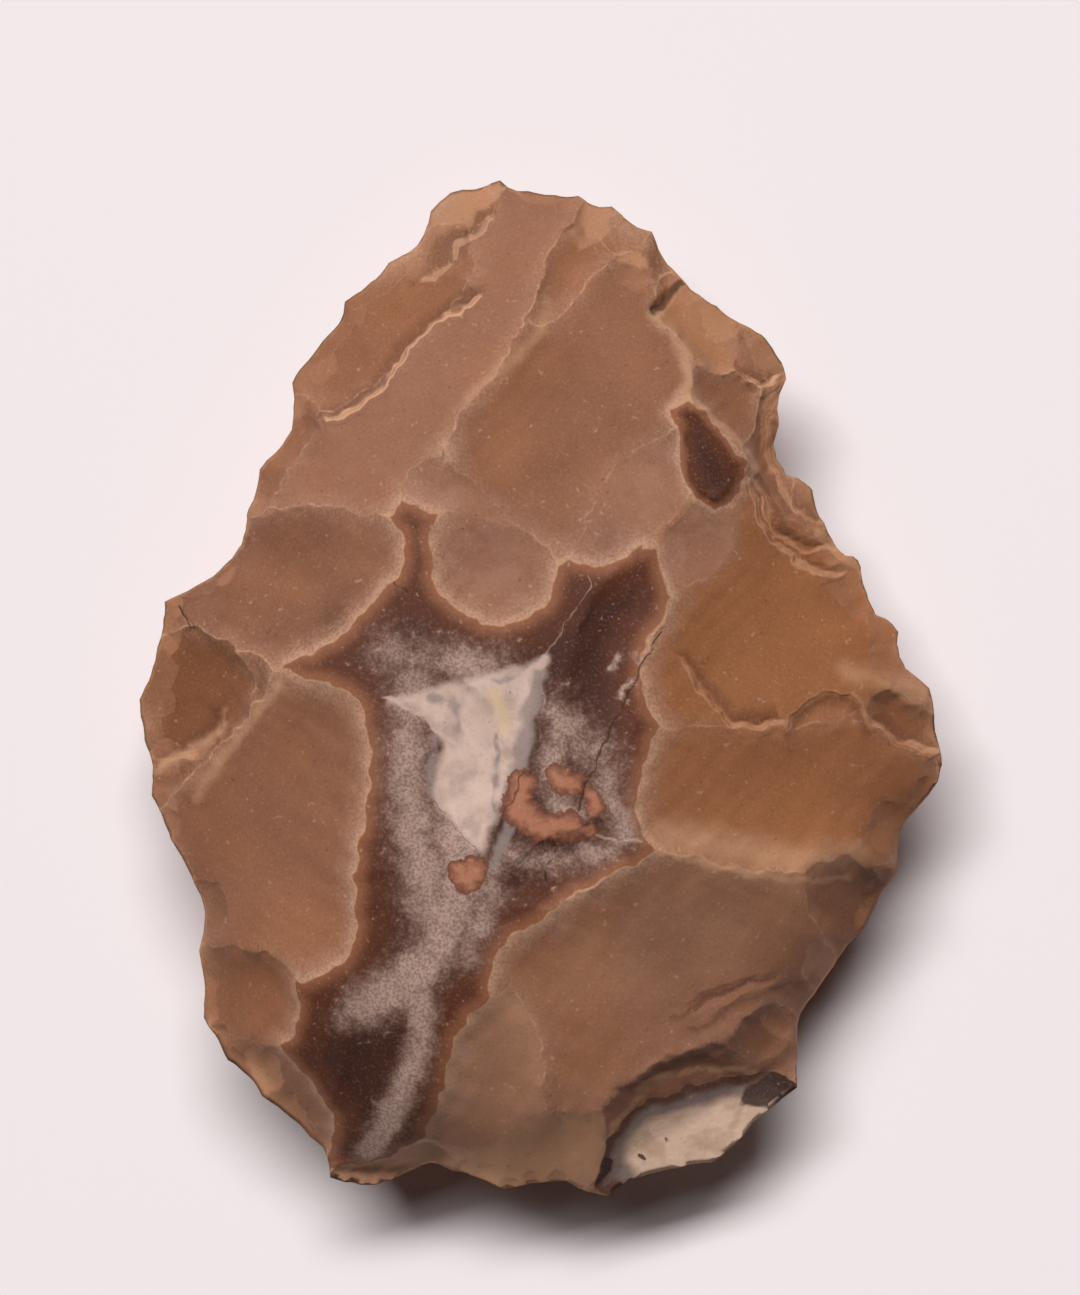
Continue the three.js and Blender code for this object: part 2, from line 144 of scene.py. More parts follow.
LOWER_SCARS = [
    scar(-3, 41, 84, 19, 11, 3.8, 2.4, tone=0.2),
    scar(-20, 33, 46, 15, 9, 4.2, 2.4, tone=0.1),
    scar(14, 35, -44, 17, 10, 4.2, 2.4, tone=-0.1),
    scar(27, 15, -16, 18, 12, 4.4, 2.4, warmth=0.5),
    scar(32, -8, 8, 17, 12, 4.8, 2.6, tone=-0.1, warmth=0.6),
    scar(26, -30, 34, 17, 11, 4.4, 2.4),
    scar(4, -45, 86, 16, 13, 4.6, 2.4, tone=-0.15),
    scar(-22, -39, -36, 17, 11, 4.4, 2.4, tone=0.1),
    scar(-34, -16, -6, 18, 12, 4.8, 2.6, tone=-0.2, warmth=0.4),
    scar(-32, 8, 18, 17, 11, 4.4, 2.4),
    scar(-9, 17, -70, 14, 7, 1.6, 2.4, 1.6, tone=-0.1),
    scar(41, -2, 70, 6, 3.5, 5.4, 2.2, 1.4, tone=0.2, warmth=0.5),
    scar(34, -24, 60, 7, 3.6, 5.2, 2.2, 1.4, tone=0.1),
    scar(-39, -22, 80, 7, 3.4, 5.4, 2.2, 1.4, tone=0.1),
    scar(-28, 27, 58, 7, 3.4, 5, 2.2, 1.4, tone=0.2),
]
UPPER = dict(scars=UPPER_SCARS, rise=CREST_RISE, side=1)
LOWER = dict(scars=LOWER_SCARS, rise=BELLY_DROP, side=-1)

# ---------------------------------------------------------------------------------------------
# Finer relief, in millimetres
# ---------------------------------------------------------------------------------------------
RIDGE_ROUND = 0.05  # how much a ridge is worn round
SOFT_ROUND = 0.6  # the same where a scar's ridges hardly show
SOFT_START = 1.25  # the higher, the fainter a ridge has to be before it turns soft
RIPPLE_LENGTH = 4.2  # from one conchoidal ripple to the next
RIPPLE_HEIGHT = 0.03
STRUCK_OUTSIDE = 2  # how far outside the edge the ripples' middle lies
# Smaller unevenness, as in the tables above.
FINE_WANDER_X = [(0.16, 0.9, 1.6, 0.3), (0.1, -2.3, 1.9, 1.7), (0.06, 3.9, 2.7, 4.1)]
FINE_WANDER_Y = [(0.16, 1.5, -0.8, 2.2), (0.1, 1.8, 2.6, 0.9), (0.06, -2.9, 4.2, 5.3)]


def ledge(run, deep, fade, glint, wall=0.3):
    """A step where a flake broke off short. The stone drops to the right of the run, over the
    wall's width, and the drop fades out. Glint is how brightly the painted highlight on its lip
    shows."""
    return dict(run=run, deep=deep, fade=fade, glint=glint, wall=wall)


LEDGE_END = 2.5  # the higher, the shorter a ledge's tapered ends
LEDGES = {
    "tip": ledge([(-5.7, 42.4), (-8.6, 40.5), (-11, 39.4), (-12.7, 37.7), (-15.4, 35),
                  (-17.2, 32.9), (-19.8, 29.9), (-23.1, 29.5)], 1.6, 2.8, 1.0, 0.7),
    "tip upper": ledge([(-9, 46.4), (-10.6, 45), (-12.6, 44.2)], 0.7, 2, 0.5, 0.5),
    "tip retouch": ledge([(-5.6, 52), (-6.6, 50), (-8, 49), (-8.6, 47.4)], 0.7, 2.5, 0.6, 0.4),
    "right hinge": ledge([(26.5, -3.2), (23.5, -3.5), (19.6, -4.1), (19.3, -3), (17.6, -0.5),
                          (15.4, 2.5)], 0.7, 2.5, 0.35, 0.4),
    "right arch": ledge([(25.9, -3.7), (27.5, -1.9), (29.2, -0.8), (31.9, -0.4), (34.1, -1),
                         (35, -2.6), (35.2, -4.6)], 0.8, 2.5, 0.2, 1.0),
    "right chip": ledge([(43.4, -6.9), (38, -5.2), (35.2, -4.4)], 0.7, 1.8, 0.5, 0.5),
    "notch inner": ledge([(32.5, 12.2), (29.2, 11.9), (27.5, 13.5), (25.3, 15.7), (23.7, 18.5),
                          (23.1, 22.9)], 1.3, 1.1, 0.5, 0.6),
    "notch middle": ledge([(32.8, 15), (28.9, 13.9), (26.2, 16.1), (24.5, 19), (23.9, 22.9)],
                          1.3, 1.0, 0.4, 0.6),
    "notch outer": ledge([(31, 17.7), (28.6, 18.3), (27, 20.7), (25.9, 22.9), (25.1, 26.2),
                          (25.1, 30), (26.2, 31.7)], 1.7, 1.8, 0.3, 0.8),
    "shoulder hook": ledge([(25.8, 34.1), (24.6, 32.9), (23.6, 32.8), (22.5, 34.6)],
                           0.4, 1.5, 1.0),
    "heel ripple": ledge([(15.4, -34.3), (16.9, -32.4), (18.7, -31.2), (22, -30.2),
                          (25.9, -30.4)], 0.55, 2.0, 0.0, 1.1),
    "heel ripple low": ledge([(17.6, -35.4), (19.8, -33.4), (22.5, -32.3), (28.6, -31.6)],
                             0.5, 2.0, 0.0, 0.9),
    "cortex hinge": ledge([(10.5, -42.4), (12, -41.2), (14.3, -39.7), (17.6, -39),
                           (21.2, -39.2), (22.6, -40.6)], 0.9, 1.9, 0.0, 1.7),
    "butt": ledge([(-13.6, -49.9), (-11.5, -50.2), (-9, -51.6), (-6.9, -53.5), (-5.2, -54.6)],
                  0.6, 2.5, 0.3, 0.5),
    "left lip": ledge([(-34, -3), (-35, -4.9), (-37.3, -7), (-39.6, -8.1), (-42, -8.7)],
                      0.7, 2.5, 0.25, 0.6),
}


def streak(run, wide, strength=1.0, deep=0.0):
    """A mark along a run of points, by half its width. A crack's is also cut in, so deep."""
    return dict(run=run, wide=wide, strength=strength, deep=deep)


# Cracks painted dark: painted shade of their grooves, some of them cut in, and on the wide one by
# the right shoulder the painted shadow of a step's wall.
CRACKS = [
    streak([(13, 6), (11.2, 3.2), (9.6, 0), (8.2, -3), (6.9, -5.6), (5.6, -8.6),
            (4.4, -11.3), (4.1, -12.8)], 0.16, deep=0.06),
    streak([(1.7, -17), (0.9, -18.6), (0.6, -20.4)], 0.13, deep=0.06),
    streak([(-11.3, -11.6), (-9.4, -14), (-7.4, -16.4), (-6.2, -17.6)], 0.12, 0.7),
    streak([(-1.7, -8.6), (-2.2, -10.2), (-3.6, -12.4), (-4.6, -14.6)], 0.16, 0.7),
    streak([(12.5, 41.2), (13.9, 42.9), (15.9, 45.1)], 0.6, deep=1.0),
    streak([(-39.8, 8.9), (-38.6, 7.6), (-37.4, 6.2)], 0.16, deep=0.3),
    streak([(-15.7, 11.6), (-14.9, 10.9), (-14.1, 10.2)], 0.14, 0.7),
]

# Frosting, cream skin, grey streaks, pale veins and rust on the old core.
FROST = [
    streak([(-16, 4), (-12.5, 3), (-8.5, 2.6), (-5, 2.4)], 3.4, 0.8),
    streak([(-13, 0), (-14, -6), (-13.4, -14), (-12.2, -20), (-10.6, -26)], 4.2, 1.1),
    streak([(-9, -14), (-8.6, -21), (-10.4, -27), (-14.2, -31), (-18.4, -33.6)], 3.8, 1.3),
    streak([(-5, -19), (-5.6, -23), (-8, -28)], 2.8, 0.8),
    streak([(-21.4, -35.4), (-17, -33.2), (-13.4, -33.2)], 1.9, 0.9),
    streak([(-12.6, -33), (-12.6, -38), (-14.4, -43), (-17, -48), (-18.7, -50.6)], 2.4, 1.3),
    streak([(-18.6, -50.4), (-19, -52.6)], 1.4, 0.9),
    streak([(1.6, -2.6), (4, -5.6), (6.6, -7), (7.4, -11), (8.4, -14.2)], 3.4, 0.75),
    streak([(2, -5), (1, -8), (2, -12.6), (4, -13.2)], 2.4, 1.0),
    streak([(-3, -17.6), (1.6, -18.2), (6, -17.4), (9, -15.6)], 2.2, 0.85),
    streak([(7.2, 2), (8.7, 3.6)], 0.5, 1.1),
    streak([(9.6, 1), (8.5, -0.8)], 0.5, 1.2),
    streak([(10, 4), (10.8, 2.6)], 0.3, 0.9),
    streak([(2.7, 0.6), (2.8, 0.7)], 0.45, 1.2),
    streak([(-1.4, -20.6), (-1.2, -20.6)], 0.35, 1.1),
    streak([(1.3, -21), (1.5, -21)], 0.35, 1.1),
]
CREAM_PATCH = [(0.7, 3.6), (-1.8, 2.2), (-5, 1.9), (-8, 1.5), (-10, 0.8), (-12.6, -0.2),
               (-16, -1), (-13.4, -2), (-11.4, -3.8), (-10.2, -5.6), (-10.8, -8), (-11.6, -10.6),
               (-10.8, -12.6), (-8.8, -14.8), (-7.2, -16.6), (-6, -17.5), (-5.4, -15.4),
               (-4.4, -12.4), (-2.6, -10.4), (-1.6, -7.6), (-0.6, -4), (-0.2, 0), (0.2, 2)]
SLATE = [
    streak([(0, 1.4), (-0.8, -1), (-1.6, -4.4), (-2, -7.6), (-3.2, -10.8)], 1.3, 1.0),
    streak([(-4.6, -4.8), (-4.6, -8), (-5, -10.8), (-4.6, -12.8)], 0.45, 0.8),
    streak([(-9.4, -0.4), (-8.8, -2.4), (-8.6, -4.6)], 0.7, 0.55),
    streak([(-11.2, -5), (-11.4, -8), (-11.8, -10.6)], 0.8, 0.8),
    streak([(-11.6, -1), (-10.4, -1.2)], 0.8, 0.8),
    streak([(-5.2, 1.1), (-3, 1.1)], 0.45, 0.6),
    streak([(-3.2, -14), (-4, -16.4), (-5.4, -19)], 0.9, 0.9),
]
VEINS = [
    streak([(5, 12), (5.4, 10.6), (4.1, 9.3), (2.6, 6.8), (1.6, 5), (0.6, 3.6)], 0.16, 0.5),
    streak([(0.6, 3.4), (-0.8, 2), (-2.4, 0.4)], 0.5, 0.8),
    streak([(-16.6, -0.8), (-14.8, -1.4), (-12.4, -2.8), (-10.2, -5), (-8, -6.2)], 0.35, 0.8),
    streak([(-13.6, 6.2), (-13.5, 3), (-14, -0.4)], 0.3, 0.4),
    streak([(0.3, 1.6), (0.3, -2), (-0.3, -5.6)], 0.22, 0.4),
    streak([(4.6, -15.4), (8, -15.9), (11, -16.1)], 0.3, 0.6),
    streak([(-8, -8.4), (-9.6, -8.6)], 0.5, 0.5),
]
RUST = [
    streak([(1.8, -9.3), (3.4, -9.9)], 1.5),
    streak([(5.4, -11.2), (5.9, -12.4)], 1.1),
    streak([(-1.8, -10), (-2.6, -12), (-1.8, -13.6), (0.6, -14.6), (3.4, -14.5)], 1.7),
    streak([(3.6, -14.4), (5.4, -14.9)], 0.8),
    streak([(-8.6, -19.4), (-7.4, -20.4), (-6.8, -19)], 1.5),
]
# Dark marks of the cortex: its dark corner and pits, and the painted shadow of the slot at its
# left end.
CORTEX_DARK_AND_SHADOW = [streak([(23.4, -44.8), (25.4, -44.2), (27.6, -42.6)], 1.7),
        streak([(6.2, -54), (7.2, -52)], 0.9),
        streak([(14.1, -49.6), (14.2, -49.6)], 0.35),
        streak([(10.9, -51.3), (11.5, -51.8)], 0.3)]
# A yellow stain on the cream skin.
YOLK = [streak([(-4.6, -0.6), (-4.2, -2.2), (-3.8, -4)], 1.5)]
# Pale bands: worn ridges, and painted highlights where ridges and slopes catch the light;
# the band at the butt, on a slope turned from the lamps, is painted light.
WEAR_AND_HIGHLIGHTS = [
    streak([(-41.8, -8.8), (-38, -6.8), (-34.1, -4.1)], 0.9, 0.9),
    streak([(-37.4, -11.8), (-33.4, -6), (-28, 0.3)], 1.0, 0.9),
    streak([(13.2, -17.4), (20, -19.2), (28, -20.7), (33.5, -20.6)], 0.6, 1.0),
    streak([(-13.5, -47.8), (-14.5, -51), (-18.5, -54.3)], 0.6, 1.0),
    streak([(-7.8, 31), (-3.8, 34.8), (0.4, 38.8), (0.8, 42)], 1.0, 0.6),
    streak([(12.4, 40.8), (15.4, 37.4), (16.4, 33.6), (14.4, 30)], 1.1, 0.8),
    streak([(16.2, 31.6), (19.6, 28.6), (22.6, 25.8), (23.4, 23.8)], 0.6, 1.0),
    streak([(33.2, 2), (37, 0.8), (41.4, 0), (43.4, -1.4)], 1.7, 0.55),
    streak([(-13.4, -51.2), (-9.6, -52), (-5, -53)], 2.2, 1.2),
    streak([(14, -15.4), (21, -17), (28, -18.5), (34, -18.2)], 2.6, 0.8),
    streak([(10.6, -43), (14, -41.6), (18.6, -41.2), (23.4, -41.8)], 0.6, 0.9),
    streak([(3.6, -53.4), (6.6, -50), (8.2, -47), (11.4, -43.8)], 0.6, 0.9),
]
# The old facet by the notch, coloured as the core is.
DARK_FACET = [(16.1, 31.4), (19.5, 28.4), (22.7, 25.4), (22.9, 23.4), (21, 20.2), (18.4, 19.6),
              (16.2, 20.8), (15.4, 24), (15.6, 28), (14, 29.8)]
MARKS = {"frost": FROST, "yolk": YOLK, "slate": SLATE, "vein": VEINS, "rust": RUST, "crack": CRACKS,
         "cortex_dark_and_shadow": CORTEX_DARK_AND_SHADOW, "wear_and_highlight": WEAR_AND_HIGHLIGHTS}


def edge_outline():
    """The worked edge as polar angle and radius, sorted by angle."""
    corners = [corner for stretch in EDGE.values() for corner in stretch]
    points = []
    for (x, y, bite), (next_x, next_y, _) in zip(corners, corners[1:] + corners[:1]):
        along = np.array([next_x - x, next_y - y])
        inward = np.array([along[1], -along[0]]) / np.hypot(*along)
        for share in np.arange(POINTS_PER_FLAKE) / POINTS_PER_FLAKE:
            points.append(np.array([x, y]) + along * share + inward * 4 * share * (1 - share) * bite)
    points = np.array(points)
    angle = np.arctan2(points[:, 1], points[:, 0])
    order = np.argsort(angle)
    return angle[order], np.hypot(*points.T)[order]


OUTLINE_ANGLE, OUTLINE_RADIUS = edge_outline()
SMOOTH_STEPS = 360
SMOOTH_REACH = 25  # how many steps to each side are averaged


def edge_radius(angle):
    return np.interp(angle, OUTLINE_ANGLE, OUTLINE_RADIUS, period=2 * math.pi)


def smooth_radii():
    """The edge's radius averaged over a wide angle, at even steps of angle."""
    step = np.arange(SMOOTH_STEPS)
    reach = np.arange(-SMOOTH_REACH, SMOOTH_REACH + 1)
    weight = np.cos(reach / SMOOTH_REACH * math.pi / 2) ** 2
    angle = (step[:, None] + reach[None, :]) / SMOOTH_STEPS * 2 * math.pi - math.pi
    return (edge_radius(angle) * weight).sum(1) / weight.sum()


SMOOTH_ANGLE = np.arange(SMOOTH_STEPS) / SMOOTH_STEPS * 2 * math.pi - math.pi
SMOOTH_RADII = smooth_radii()


def smooth_radius(angle):
    return np.interp(angle, SMOOTH_ANGLE, SMOOTH_RADII, period=2 * math.pi)


def edge_height(angle):
    return sum(height * np.sin(waves * angle + phase) for waves, height, phase in EDGE_WAVES)


def wander(x, y, along_x=WANDER_X, along_y=WANDER_Y):
    def waves(table):
        return sum(reach * np.sin(kx * x + ky * y + phase) for reach, kx, ky, phase in table)
    return x + waves(along_x), y + waves(along_y)


def ragged(x, y):
    """Places shifted as broken edges are, so that a run drawn over them comes out jagged."""
    return wander(*wander(x, y), FINE_WANDER_X, FINE_WANDER_Y)


def swell(face, x, y):
    share = np.hypot(x, y) / (smooth_radius(np.arctan2(y, x)) * SWELL_REACH)
    bulk = face["rise"] * (1 - TIP_THINNING * y)
    return bulk * (1 - np.minimum(share, SWELL_RIM) ** SWELL_FLATNESS) ** SWELL_FALL


def cut_depth(flake, x, y):
    dx, dy = x - flake["x"], y - flake["y"]
    cos, sin = math.cos(flake["turn"]), math.sin(flake["turn"])
    along = np.abs(dx * cos + dy * sin) / flake["long"]
    across = np.abs(dy * cos - dx * sin) / flake["wide"]
    out = along ** flake["square"] + across ** flake["square"]
    return flake["deep"] * (1 - out ** (2 * flake["lip"] / flake["square"]))


def cuts_at(face, x, y):
    """Every scar's cut at each place, one row per scar, and 0 for the unflaked surface."""
    wx, wy = ragged(x, y)
    return np.array([cut_depth(flake, wx, wy) for flake in face["scars"]] + [np.zeros_like(x)])


def shared_by_scars(face, cuts, key, default=0.0, blend=0.06):
    """One of the scars' looks at each point, blended over the ridges."""
    values = np.array([flake[key] for flake in face["scars"]] + [default])
    weight = np.exp((cuts - cuts.max(0)) / blend)
    return (weight * values[:, None]).sum(0) / weight.sum(0)


def worn_cut(face, cuts):
    """The deepest cut, with the ridges between scars worn round."""
    top = cuts.max(0)
    sharp, soft = (top + width * np.log(np.exp((cuts - top) / width).sum(0))
                   for width in (RIDGE_ROUND, SOFT_ROUND))
    clear = shared_by_scars(face, cuts, "line", 1.0, SOFT_ROUND)
    share = np.clip(1 - SOFT_START * clear ** 2, 0, 1)
    return sharp * (1 - share) + soft * share


def ripples(face, cuts, x, y):
    """Faint rings that spread across each scar from where it was struck at the edge."""
    flakes = face["scars"]
    away = np.array([math.atan2(flake["y"], flake["x"]) for flake in flakes])
    reach = edge_radius(away) + STRUCK_OUTSIDE
    fresh = np.array([not flake["old"] for flake in flakes])
    owner = np.minimum(cuts.argmax(0), len(flakes) - 1)
    struck = cuts.max(0) > 0
    dx, dy = x - (reach * np.cos(away))[owner], y - (reach * np.sin(away))[owner]
    apart = np.hypot(dx, dy) + 0.8 * np.sin(3 * np.arctan2(dy, dx) + owner)
    wave = np.sin(2 * math.pi * apart / RIPPLE_LENGTH + 1.9 * np.sin(apart / 4.1 + owner))
    swell_of_waves = 0.5 + 0.5 * np.sin(apart / 6.5 + 2.1 * owner)
    return RIPPLE_HEIGHT * wave * swell_of_waves * fresh[owner] * struck


def eased(run):
    """A run of points with its corners cut twice."""
    points = np.array(run, float)
    for _ in range(2):
        first, last = points[:-1], points[1:]
        between = np.stack([0.75 * first + 0.25 * last, 0.25 * first + 0.75 * last], axis=1)
        points = np.concatenate([points[:1], between.reshape(-1, 2), points[-1:]])
    return points


def run_distance(points, x, y):
    """Signed distance from a run of points, above zero to its right, and the share along it."""
    lengths = np.hypot(*np.diff(points, axis=0).T)
    before = np.concatenate([[0], np.cumsum(lengths)])
    nearest = np.full(x.shape, 1e9)
    side = np.ones(x.shape)
    share = np.zeros(x.shape)
    for (ax, ay), (bx, by), length, start in zip(points[:-1], points[1:], lengths, before):
        ux, uy = (bx - ax) / length, (by - ay) / length
        dx, dy = x - ax, y - ay
        along = np.clip(dx * ux + dy * uy, 0, length)
        apart = np.hypot(dx - along * ux, dy - along * uy)
        closer = apart < nearest
        nearest = np.where(closer, apart, nearest)
        side = np.where(closer, np.sign(dx * uy - dy * ux), side)
        share = np.where(closer, (start + along) / before[-1], share)
    return nearest * side, share


def ledge_drop(ledge, x, y):
    apart, share = run_distance(eased(ledge["run"]), *ragged(x, y))
    wall = np.clip(apart / ledge["wall"], 0, 1)
    ends = np.clip(np.sin(math.pi * share) * LEDGE_END, 0, 1)
    return ledge["deep"] * ends * wall * np.exp(-np.maximum(apart, 0) / ledge["fade"])


# ---------------------------------------------------------------------------------------------
# Edge retouch: small chips struck along the whole edge, on both faces
# ---------------------------------------------------------------------------------------------
CHIP_SEED = 7
CHIPS_AROUND = 110
LEAST_CHIP = 0.6  # half the width of the smallest random chip
CHIP_RANGE = 2.4  # how much wider the largest is
SMALL_CHIPS = 1.7  # the higher, the more of the chips are small
CHIP_BORDER = 0.01  # how deep a chip is where its border is drawn
CHIP_TURN = 30  # how far a chip's direction strays from straight in: degrees
BITE_SHARE = 0.1  # how far a chip bites into the outline, as a share of its size
BITE_WIDTH = 0.8  # half the width of that bite, as a share of its size
BITE_BAND = 2.2  # how far in from the edge the outline's bites are felt
EDGE_SHIFT = 0.22  # how far a chip moves the edge line up or down, as a share of its depth
# The larger flakes of the retouch, by stretch of the edge: x, y, turn, long, wide, deep, tone.
# Their tone is partly painted light and shade.
RETOUCH = {
    "tip": [(-7.6, 55.4, 25, 4.4, 2.8, 1.6, 0.8), (-10.9, 51.6, 12, 3.9, 2.1, 1.4, 0.7),
            (-10.8, 47.8, 35, 3.6, 2.3, 1.3, -0.4), (6, 51.6, 60, 3.6, 2, 1.1, 0.6),
            (10.4, 49.6, -50, 3, 2.4, 1.4, -0.45), (10.4, 47.2, -10, 2.1, 1, 0.9, 0.9),
            (0.5, 54.8, -8, 3.4, 1.5, 0.9, 0.1), (10.4, 45, 0, 2.4, 1.2, 0.5, 0.1)],
    "right shoulder": [(13.4, 46.6, -64, 3.2, 1.6, 1.4, -0.6), (25.4, 36.4, -60, 3.2, 2, 1.3, 0.1)],
    "right": [(31.6, 17, -62, 2.6, 1.4, 1.1, 0.3), (34.8, 13.4, -50, 2.8, 1.6, 1.3, 0.35),
              (37.8, 8.2, -68, 3.2, 1.8, 1.3, -0.2), (41.2, 3, -60, 3, 1.7, 1.2, 0.2),
              (43.4, -4.6, -84, 3, 1.8, 1.3, 0.2), (42.6, -11.4, 60, 2.6, 1.6, 1.2, -0.3),
              (39.8, -16.6, 75, 3.2, 1.8, 1.3, 0.3), (37.8, -22.8, 66, 3.2, 1.9, 1.3, -0.35),
              (34.4, -28.8, 58, 3, 1.8, 1.2, 0.2)],
    "left": [(-17.6, 45.2, 38, 3.6, 1.8, 1.3, -0.3), (-21.8, 41, 52, 3.6, 1.7, 1.3, -0.15),
             (-24.9, 36.8, 52, 3.4, 1.7, 1.2, -0.3), (-27, 32.4, 80, 3, 1.8, 1.2, 0.2),
             (-31.2, 22, 72, 3.2, 1.6, 1.2, -0.2), (-36.8, 12.6, 32, 3.8, 1.7, 1.3, -0.2),
             (-41.4, 6.4, 80, 2.8, 1.6, 1.2, 0.2), (-43.4, -4.2, 86, 3.6, 1.8, 1.3, -0.3),
             (-41.6, -13.6, -60, 3, 1.6, 1.2, 0.2)],
    "left heel": [(-37.8, -26, 88, 3.2, 1.6, 1.2, -0.25), (-37, -33, 88, 3, 1.5, 1.1, 0.2),
                  (-33.4, -41.4, -52, 3.2, 1.6, 1.2, -0.2), (-26.8, -48, -46, 3.4, 1.8, 1.3, 0.3),
                  (-14.6, -53, 0, 2.6, 1.5, 1.0, 0.4)],
}


def edge_chips(seed, retouch=()):
    """The given flakes, and smaller random ones with their middles close to the edge."""
    rng = np.random.default_rng(seed)
    chips = [scar(*flake[:6], tone=flake[6]) for stretch in retouch for flake in stretch]
    for angle in np.sort(rng.uniform(-math.pi, math.pi, CHIPS_AROUND)):
        size = LEAST_CHIP + CHIP_RANGE * rng.random() ** SMALL_CHIPS
        radius = edge_radius(angle) - rng.uniform(0, 0.6) * size
        chips.append(scar(radius * math.cos(angle), radius * math.sin(angle),
                          math.degrees(angle) + rng.uniform(-CHIP_TURN, CHIP_TURN),
                          size * rng.uniform(0.8, 1.5), size, 0.38 * size + 0.1,
                          tone=rng.uniform(-0.5, 0.55)))
    return chips


def upper_retouch():
    return edge_chips(CHIP_SEED, RETOUCH.values())


def chipping(chips, x, y):
    """How deep the chips cut at each place, and how light the deepest of them is."""
    deepest, tone = np.zeros_like(x), np.zeros_like(x)
    for chip in chips:
        depth = np.zeros_like(x)
        near = np.hypot(x - chip["x"], y - chip["y"]) < 2 * max(chip["long"], chip["wide"])
        depth[near] = cut_depth(chip, x[near], y[near])
        tone = np.where(depth > deepest, chip["tone"], tone)
        deepest = np.maximum(deepest, depth)
    return deepest, tone


def bitten_in(chips, x, y):
    """How far each place near the edge moves towards the middle, where chips bite the outline."""
    angle, radius = np.arctan2(y, x), np.hypot(x, y)
    bite = np.zeros_like(x)
    for chip in chips:
        at = math.atan2(chip["y"], chip["x"])
        off = (angle - at + math.pi) % (2 * math.pi) - math.pi
        across = off * radius / (BITE_WIDTH * chip["wide"])
        bite = np.maximum(bite, BITE_SHARE * chip["wide"] * (1 - across ** 2))
    near = np.clip(1 - (edge_radius(angle) - radius) / BITE_BAND, 0, 1)
    return bite * near ** 2


def crack_cut(crack, x, y):
    apart, _ = run_distance(eased(crack["run"]), x, y)
    return crack["deep"] * np.clip(1.4 - np.abs(apart) / crack["wide"], 0, 1)


def face_height(face, x, y, chipped=None):
    """Height above the resting surface, and every scar's cut. With how deep the two faces are
    chipped it has the finer relief too."""
    angle = np.arctan2(y, x)
    full = swell(face, x, y)
    cuts = cuts_at(face, x, y)
    lift = edge_height(angle)
    if chipped is None:
        flaked = full - cuts.max(0)
    else:
        flaked = full - worn_cut(face, cuts) + ripples(face, cuts, x, y)
        flaked -= chipped[0] if face is UPPER else chipped[1]
        lift = lift + EDGE_SHIFT * (chipped[1] - chipped[0])
        if face is UPPER:
            flaked -= sum(ledge_drop(ledge, x, y) for ledge in LEDGES.values())
            flaked -= sum(crack_cut(crack, x, y) for crack in CRACKS)
    flaked = np.maximum(flaked, LEAST_SHARE * full)
    pull = np.minimum(np.hypot(x, y) / edge_radius(angle), 1) ** EDGE_PULL
    height = EDGE_PLANE + (1 - pull) * face["side"] * flaked + pull * lift
    return np.maximum(height, 0), cuts


# ---------------------------------------------------------------------------------------------
# The piece
# ---------------------------------------------------------------------------------------------
FIRST_CUTS = 2  # how often each of the solid's edges is cut
DETAIL_REACH = (0.9, 0.5)  # how near a ledge, crack or vein it is divided again, and once more
SHARP_ANGLE = 50  # steeper than this, an edge isn't shaded smooth: degrees
MERGE_WITHIN = 0.00001  # metres
FAR = 5.0  # stands for every distance too large to matter
END_SHARE = 0.06  # a ledge's look stops over this share of its run, at each end
END_PUSH = 6
FACE_STEP = 100  # sets the numbers of one face's scars, or of chipped places, apart


def fine_copy(solid, name):
    """The solid's own mesh, merged and divided once, as a new object."""
    bpy.ops.object.select_all(action="DESELECT")
    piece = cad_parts[solid].copy()
    piece.data = piece.data.copy()
    piece.parent = None
    piece.name = piece.data.name = name
    bpy.context.collection.objects.link(piece)
    bpy.context.view_layer.objects.active = piece
    piece.select_set(True)
    bpy.ops.object.mode_set(mode="EDIT")
    bpy.ops.mesh.select_all(action="SELECT")
    bpy.ops.mesh.remove_doubles(threshold=MERGE_WITHIN)
    bpy.ops.mesh.subdivide(number_cuts=FIRST_CUTS, smoothness=0)
    bpy.ops.object.mode_set(mode="OBJECT")
    return piece


def corners_in_millimetres(mesh):
    xyz = np.empty(len(mesh.vertices) * 3)
    mesh.vertices.foreach_get("co", xyz)
    return xyz.reshape(-1, 3) / MM


def on_upper_face(xyz):
    top, _ = face_height(UPPER, xyz[:, 0], xyz[:, 1])
    bottom, _ = face_height(LOWER, xyz[:, 0], xyz[:, 1])
    return np.abs(xyz[:, 2] - top) <= np.abs(xyz[:, 2] - bottom)


